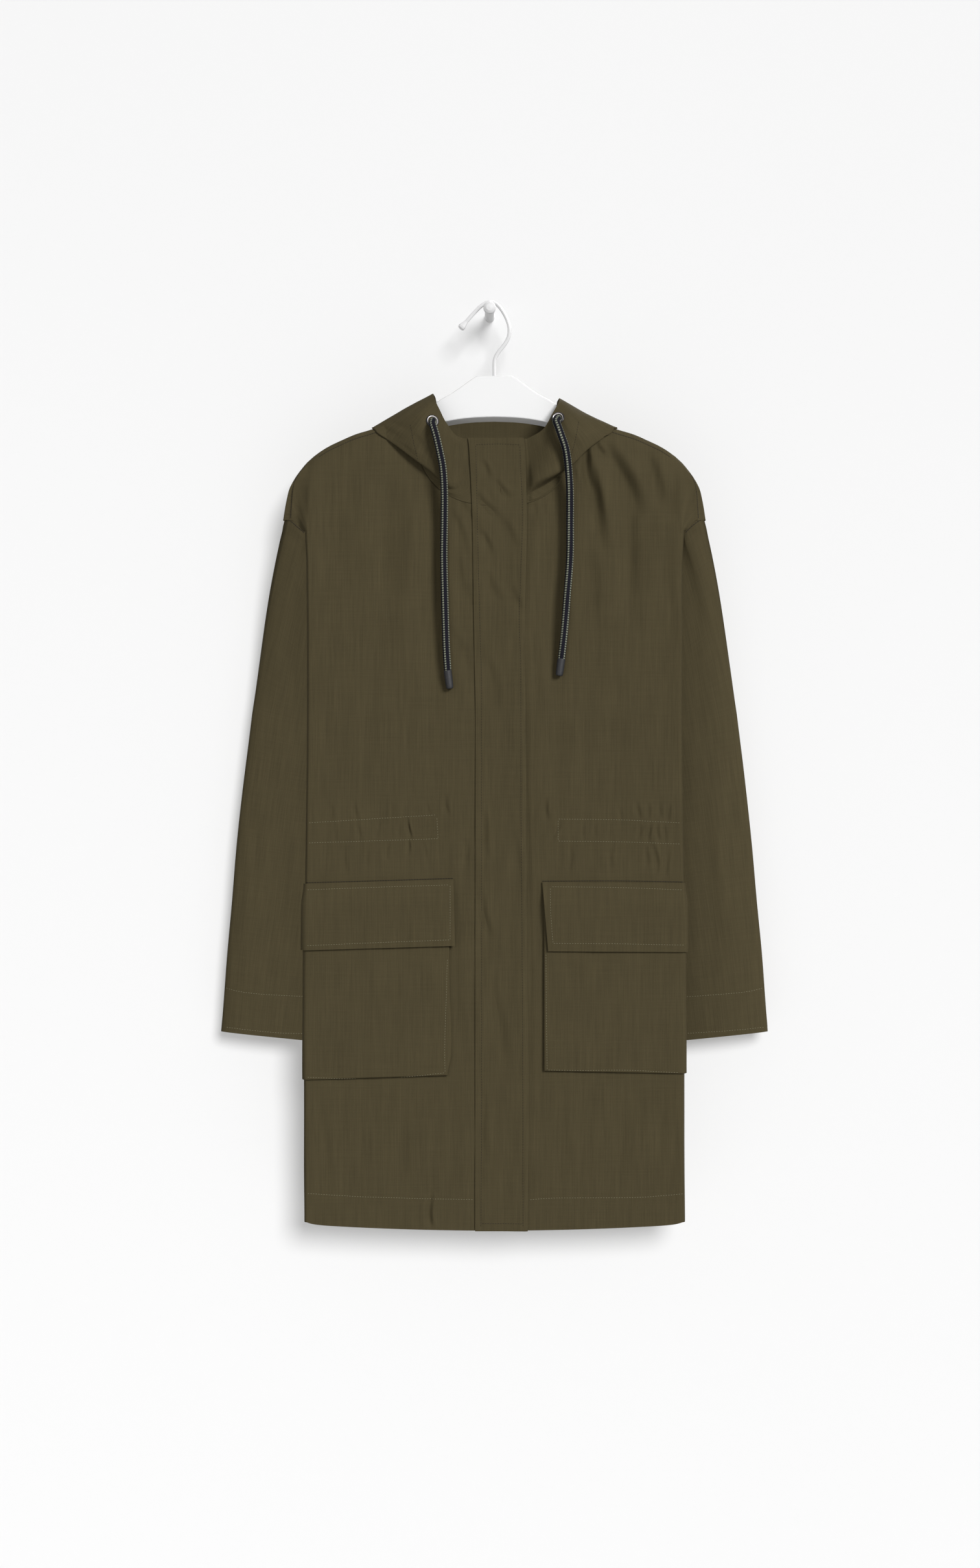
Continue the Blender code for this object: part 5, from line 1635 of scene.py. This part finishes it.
class PARKA_OT_pockets(bpy.types.Operator):
    """Sews the patch pockets on their gussets, and their flaps"""

    bl_idname = "parka.pockets"
    bl_label = "Pockets and Flaps"

    def execute(self, context):
        sizes = context.scene.parka_sizes
        for (word, side), spec, cover in zip(SIDES, POCKETS, COVERS):
            grid, cut = self.pocket(spec)
            name = "pocket_" + word
            made = cloth_piece(name, grid, cut, sizes.wall / MM, side < 0)
            "front_" + word
            grid, cut = self.cover(cover)
            name = "pocket_flap_" + word
            made = cloth_piece(name, grid, cut, DOUBLE_CLOTH, side < 0)
            "pocket_" + word
        return {"FINISHED"}

    def pocket(self, spec):
        steps = len(GUSSET_STEPS)
        turn = np.linspace(FLAT_COLUMNS, LAST_COLUMN, 6)[1:]
        face = np.concatenate((np.linspace(0, FLAT_COLUMNS, 57), turn))
        k = np.concatenate((np.zeros(steps), face[1:], np.full(steps - 1, float(LAST_COLUMN))))[None, :]
        aside = np.concatenate((-GUSSET_STEPS[:, 0], face[1:-1] * 0, GUSSET_STEPS[::-1, 0]))[None, :]
        raised = np.concatenate((GUSSET_STEPS[:, 1], face[1:-1] * 0 + 1, GUSSET_STEPS[::-1, 1]))[None, :]
        up = np.concatenate((np.zeros(steps), np.linspace(0, 1, POCKET_ROWS + 1)[1:]))[:, None]
        below = np.concatenate((GUSSET_STEPS[:, 0], np.zeros(POCKET_ROWS)))[:, None]
        lifted = np.concatenate((GUSSET_STEPS[:, 1], np.ones(POCKET_ROWS)))[:, None]
        across = np.minimum(k / FLAT_COLUMNS, 1)
        z = mix(spec.low_z, spec.top_z, up) + spec.low_rise * (1 - across) * (1 - up) - below
        bow = ease(0.0, 0.12, up) * (1 - ease(0.15, 0.75, up)) * (spec.side < 0)
        inner = mix(spec.inner_low, spec.inner_top, up) + INNER_BOW * bow
        s = laid_s(inner, z, k) + aside * np.where(aside < 0, 1 + GUSSET_BOW * bow, 1)
        stand = mix(mix(POCKET_DEPTH, POCKET_MOUTH, up), POCKET_SIDE, ease(0.45, 1.0, across))
        stand = stand - uneven(POCKET_WAVES, s, z, spec.side) * raised * lifted
        lift = mix(LAID_GAP + CLOTH, stand, np.minimum(raised, lifted))
        return front_point(spec.side, s, z, lift), flat_cut(spec.side * s, z)

    def cover(self, spec):
        turn = np.linspace(FLAT_COLUMNS, LAST_COLUMN, 7)[1:]
        k = np.concatenate((np.linspace(0, FLAT_COLUMNS, 61), turn))[None, :]
        up = np.linspace(0, 1, 37)[:, None]
        across = np.minimum(k / FLAT_COLUMNS, 1)
        z = mix(spec.low_z, spec.top_z, up) - spec.outer_drop * across
        s = laid_s(mix(spec.inner_low, spec.inner_top, up), z, k)
        under = mix(POCKET_DEPTH, POCKET_SIDE, ease(0.45, 1.0, across)) + LAID_GAP
        over = ease(0, COVER_RISE, (1 - up) * (spec.top_z - spec.low_z))
        lift = LAID_GAP + DOUBLE_CLOTH + under * over
        lift = lift - uneven(COVER_WAVES, s, z, spec.side) * ease(0, 0.2, 1 - up)
        return front_point(spec.side, s, z, lift), flat_cut(spec.side * s, z)


# Sewing: a stitch's half length against the pitch and its half width, then its half height and lift

STITCH = (0.36, 0.3)
# Stitches of the dark rows that paint the shade along seams
SHADE_LINE_STITCH = (0.52, 0.55)
STITCH_HEIGHT = 0.24
STITCH_LIFT = 0.08
# Where the rays that find the cloth start, in metres from the wall
RAY_START = 0.3
LINE_POINTS = 40


class PARKA_OT_sewing(bpy.types.Operator):
    """Sews the rows of stitches that show, and the dark rows that paint the shade along seams"""

    bl_idname = "parka.sewing"
    bl_label = "Sewing"

    def execute(self, context):
        sizes = context.scene.parka_sizes
        colours = context.scene.parka_colours
        pale = thread_finish("sewing_thread", colours.thread)
        dark = thread_finish("dark_thread", colours.dark_thread)
        kinds = (
            ("_stitches", SEWING, STITCH, -1),
            ("_seams", SEAM_SHADE_LINES, SHADE_LINE_STITCH, -1),
            ("_rear_stitches", REAR_SEWING, STITCH, 1),
        )
        jobs = [(name, lines, *kind) for kind in kinds for name, lines in kind[1].items()]
        for name, lines, ending, _, size, way in jobs:
            piece = bpy.data.objects[name + "_cloth"]
            bm = bmesh.new()
            bm.from_mesh(piece.data)
            tree = BVHTree.FromBMesh(bm)
            bm.free()
            sewn = bmesh.new()
            for line in lines:
                row = self.row(tree, line, sizes.stitch / MM, size, way)
                sewn.from_mesh(row)
                bpy.data.meshes.remove(row)
            mesh = to_mesh(sewn, name + ending)
            mesh.shade_smooth()
            # The painted shade lines along seams take the dark thread, as do the pieces sewn with dark
            # thread
            dark_thread_or_shade = ending == "_seams" or name in DARK_SEWN
            keep(mesh.name, mesh, dark if dark_thread_or_shade else pale)
        return {"FINISHED"}

    def row(self, tree, line, pitch, size, way):
        """A row of stitches along x and z, laid on the cloth as seen from the front or from behind."""
        sewn = bmesh.new()
        points = np.array([(x, 0.0, z) for x, z in line])
        if len(points) > 2:
            points = spline(points, np.linspace(0, len(points) - 1, LINE_POINTS))
        count = round(lengths(points)[-1] / pitch)
        spots = walk(points, (np.arange(count) + 0.5) / count)
        ahead = np.gradient(walk(points, np.linspace(0, 1, count + 1)), axis=0)
        for spot, step in zip(spots, ahead):
            start = Vector(((spot[0] + GARMENT_X) * MM, RAY_START * way, spot[2] * MM))
            hit, normal, _, _ = tree.ray_cast(start, Vector((0, -way, 0)))
            if hit is None:
                continue
            along = Vector(step)
            along = (along - normal * along.dot(normal)).normalized()
            wide = normal.cross(along)
            scale = Matrix.Diagonal((size[0] * pitch * MM, size[1] * MM, STITCH_HEIGHT * MM, 1))
            turn = Matrix((along, wide, normal)).transposed().to_4x4()
            place_at = Matrix.Translation(hit + normal * STITCH_LIFT * MM) @ turn @ scale
            bmesh.ops.create_uvsphere(sewn, u_segments=6, v_segments=4, radius=1, matrix=place_at)
        return to_mesh(sewn, "row")


# Eyelets, hanger and peg

EYELET_RADIUS = 6.1
EYELET_MIDDLE = 0.75
EYELET_ROLL = (1.2, 0.85)
EYELET_SIDES = 40
ROLL_SIDES = 16


def turned_mesh(name, profile, steps, matrix):
    """A turned piece: a closed profile of radius and height, spun round and put in its place.

    Its attribute "radius" holds each point's distance from the middle, in millimetres.
    """
    bm = bmesh.new()
    corners = [bm.verts.new((radius * MM, 0, height * MM)) for radius, height in profile]
    edges = [bm.edges.new((a, b)) for a, b in zip(corners, corners[1:] + corners[:1])]
    bmesh.ops.spin(
        bm,
        geom=corners + edges,
        axis=(0, 0, 1),
        cent=(0, 0, 0),
        angle=2 * pi,
        steps=steps,
        use_merge=True,
    )
    bmesh.ops.remove_doubles(bm, verts=bm.verts, dist=0.001 * MM)
    bmesh.ops.recalc_face_normals(bm, faces=bm.faces)
    layer = bm.verts.layers.float.new("radius")
    for corner in bm.verts:
        corner[layer] = corner.co.xy.length / MM
    bmesh.ops.transform(bm, matrix=matrix, verts=bm.verts)
    mesh = to_mesh(bm, name)
    mesh.shade_smooth()
    return mesh


class PARKA_OT_eyelets(bpy.types.Operator):
    """Sets both rolled metal eyelets in the hood"""

    bl_idname = "parka.eyelets"
    bl_label = "Eyelets"

    def execute(self, context):
        metal = eyelet_finish("eyelet_nickel", context.scene.parka_colours.eyelet)
        turn = np.linspace(0, 2 * pi, ROLL_SIDES + 1)[:-1]
        wide, high = EYELET_ROLL
        profile = [(EYELET_RADIUS + wide * np.cos(t), EYELET_MIDDLE + high * np.sin(t)) for t in turn]
        for word, _ in SIDES:
            centre, normal = (Vector(part) for part in EYELETS[word])
            spot = centre + Vector((GARMENT_X, 0, 0))
            matrix = Matrix.Translation(spot * MM) @ normal.to_track_quat("Z", "Y").to_matrix().to_4x4()
            mesh = turned_mesh("eyelet_" + word + "_ring", profile, EYELET_SIDES, matrix)
            keep(mesh.name, mesh, metal, "eyelet_" + word)
        return {"FINISHED"}


# Half the hanger's outline: x, upper edge and lower edge
ARCH = table(
    "x top low",
    (0, -76, -122), (19, -76.2, -122.6), (25, -79.4, -123), (35, -86.6, -124), (48, -95.6, -126),
    (62, -103.6, -129), (90, -124.0, -138), (150, -149.5, -161), (201, -174, -188),
)
HANGER_DEPTH = 22.0
HANGER_STEPS = 40
HANGER_BEVEL = 1.3
HANGER_REAR_DROP = 3.0


class PARKA_OT_hanger(bpy.types.Operator):
    """Moulds the hanger, and finishes its hook and the peg"""

    bl_idname = "parka.hanger"
    bl_label = "Hanger and Peg"

    def execute(self, context):
        colour = context.scene.parka_colours.hanger
        plastic = plain_finish("hanger_white", colour, 0.38, vary=0.012, grain=1200, bump=0.04)
        wire = plain_finish("hook_white", colour, 0.32, vary=0.015, grain=900, bump=0.04)
        paint = plain_finish("peg_white", colour, 0.42, vary=0.02, grain=700, bump=0.06)
        for node, finish in (("hanger_hook", wire), ("wall_peg", paint)):
            slots = frame["nodes"][node].data.materials
            slots.clear()
            slots.append(finish)
        mesh = self.body()
        keep(mesh.name, mesh, plastic, "hanger_body")
        return {"FINISHED"}

    def body(self):
        """The hanger's plate; its lower edge drops a little towards the back."""
        even = np.linspace(0, ARCH[-1].x, HANGER_STEPS + 1)
        half = np.unique(np.concatenate((even, [row.x for row in ARCH])))
        xs = np.concatenate((-half[:0:-1], half))
        edges = [column(ARCH, "x", name, abs(xs)) for name in ("low", "top")]
        bm = bmesh.new()
        made = bmesh.ops.create_grid(bm, x_segments=len(xs) - 1, y_segments=1, size=1)["verts"]
        near = -(RIDGE_OUT + HANGER_DEPTH / 2)
        for k, corner in enumerate(made):
            row, spot = divmod(k, len(xs))
            corner.co = (MM * (xs[spot] + GARMENT_X), MM * near, MM * edges[row][spot])
        lower = set(made[: len(xs)])
        rear = bmesh.ops.extrude_face_region(bm, geom=list(bm.faces))["geom"]
        rear = [part for part in rear if isinstance(part, bmesh.types.BMVert)]
        bmesh.ops.translate(bm, verts=rear, vec=(0, HANGER_DEPTH * MM, 0))
        for corner in rear:
            if any(edge.other_vert(corner) in lower for edge in corner.link_edges):
                corner.co.z -= HANGER_REAR_DROP * MM
        bmesh.ops.recalc_face_normals(bm, faces=bm.faces)
        rims = [edge for edge in bm.edges if edge.calc_face_angle() > 1]
        made = bmesh.ops.bevel(
            bm,
            geom=rims,
            offset=HANGER_BEVEL * MM,
            offset_type="OFFSET",
            affect="EDGES",
            segments=3,
            profile=0.5,
            material=-1,
        )
        for face in made["faces"]:
            face.smooth = True
        return to_mesh(bm, "hanger_plate")


# Lights: degrees to the right and above, softness in degrees, and power
LAMPS = {
    "key": ((35, 24), 20, 3.9),
    "arm_key": ((35, 24), 20, 4.2),
    "fill": ((-34, 12), 70, 1.05),
    "room_light": ((15, 19), 22, 3.2),
    "low_light": ((0, -55), 40, 1.0),
    "back_light": ((162, 24), 35, 2.4),
}


class PARKA_OT_light(bpy.types.Operator):
    """Lights the parka softly from the right, and the room by itself"""

    bl_idname = "parka.light"
    bl_label = "Light"

    def execute(self, context):
        room = ["wall", "floor"]
        cloth = [made.name for made in bpy.data.objects if made.name.endswith("_cloth")]
        endings = ("_cloth", "_stitches", "_seams")
        arms = [word + part for word in ("sleeve_left", "sleeve_right") for part in endings]
        arms += ["back_cloth", "back_seams"]
        hoods = ["hood_left_cloth", "hood_right_cloth"]
        bodies = [name for name in cloth if name not in hoods]
        self.light("key", room + arms, "EXCLUDE", ["hanger_plate"])
        self.light("arm_key", arms, "INCLUDE", bodies + ["hanger_plate"])
        self.light("fill", room, "EXCLUDE")
        self.light("room_light", room, "INCLUDE")
        self.light("low_light", ["hanger_plate"], "INCLUDE", cloth + room)
        self.light("back_light", room, "EXCLUDE", room)
        return {"FINISHED"}

    def light(self, name, lit, state, clear=()):
        """A soft light that lights or misses some pieces, and shines through those it is clear of."""
        aim, size, power = LAMPS[name]
        lamp = bpy.data.lights.new(name, "SUN")
        lamp.angle = radians(size)
        lamp.energy = power
        made = bpy.data.objects.new(name, lamp)
        right, above = (radians(part) for part in aim)
        made.location = (2 * sin(right) * cos(above), -2 * cos(right) * cos(above), 2 * sin(above))
        made.rotation_euler = made.location.to_track_quat("Z", "Y").to_euler()
        bpy.context.scene.collection.objects.link(made)
        made.light_linking.receiver_collection = self.group(name + "_lit", lit, state)
        if clear:
            made.light_linking.blocker_collection = self.group(name + "_clear", clear, "EXCLUDE")

    def group(self, name, pieces, state):
        """A group of pieces that a light takes in or leaves out."""
        made = bpy.data.collections.new(name)
        for piece in pieces:
            made.objects.link(bpy.data.objects[piece])
        for entry in made.collection_objects:
            entry.light_linking.link_state = state
        return made


CLASSES = [
    ParkaSizes,
    ParkaColours,
    PARKA_OT_stage,
    PARKA_OT_cords,
    PARKA_OT_fronts,
    PARKA_OT_back,
    PARKA_OT_sleeves,
    PARKA_OT_hood,
    PARKA_OT_storm_flap,
    PARKA_OT_pockets,
    PARKA_OT_sewing,
    PARKA_OT_eyelets,
    PARKA_OT_hanger,
    PARKA_OT_light,
]


class PARKA_PT_panel(bpy.types.Panel):
    """Lists the sizes, the colours and the pieces of the parka"""

    bl_idname = "PARKA_PT_panel"
    bl_label = "Hooded Parka"
    bl_space_type = "VIEW_3D"
    bl_region_type = "UI"
    bl_category = "Parka"

    def draw(self, context):
        for group in (context.scene.parka_sizes, context.scene.parka_colours):
            box = self.layout.box()
            for name in group.__annotations__:
                box.prop(group, name)
        for made in CLASSES:
            if issubclass(made, bpy.types.Operator):
                self.layout.operator(made.bl_idname)


CLASSES.append(PARKA_PT_panel)


def register():
    for made in CLASSES:
        bpy.utils.register_class(made)
    bpy.types.Scene.parka_sizes = PointerProperty(type=ParkaSizes)
    bpy.types.Scene.parka_colours = PointerProperty(type=ParkaColours)


def unregister():
    del bpy.types.Scene.parka_colours
    del bpy.types.Scene.parka_sizes
    for made in reversed(CLASSES):
        bpy.utils.unregister_class(made)


def main():
    register()
    for made in CLASSES:
        if issubclass(made, bpy.types.Operator):
            group, name = made.bl_idname.split(".")
            getattr(getattr(bpy.ops, group), name)()
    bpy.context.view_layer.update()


if __name__ == "__main__":
    main()
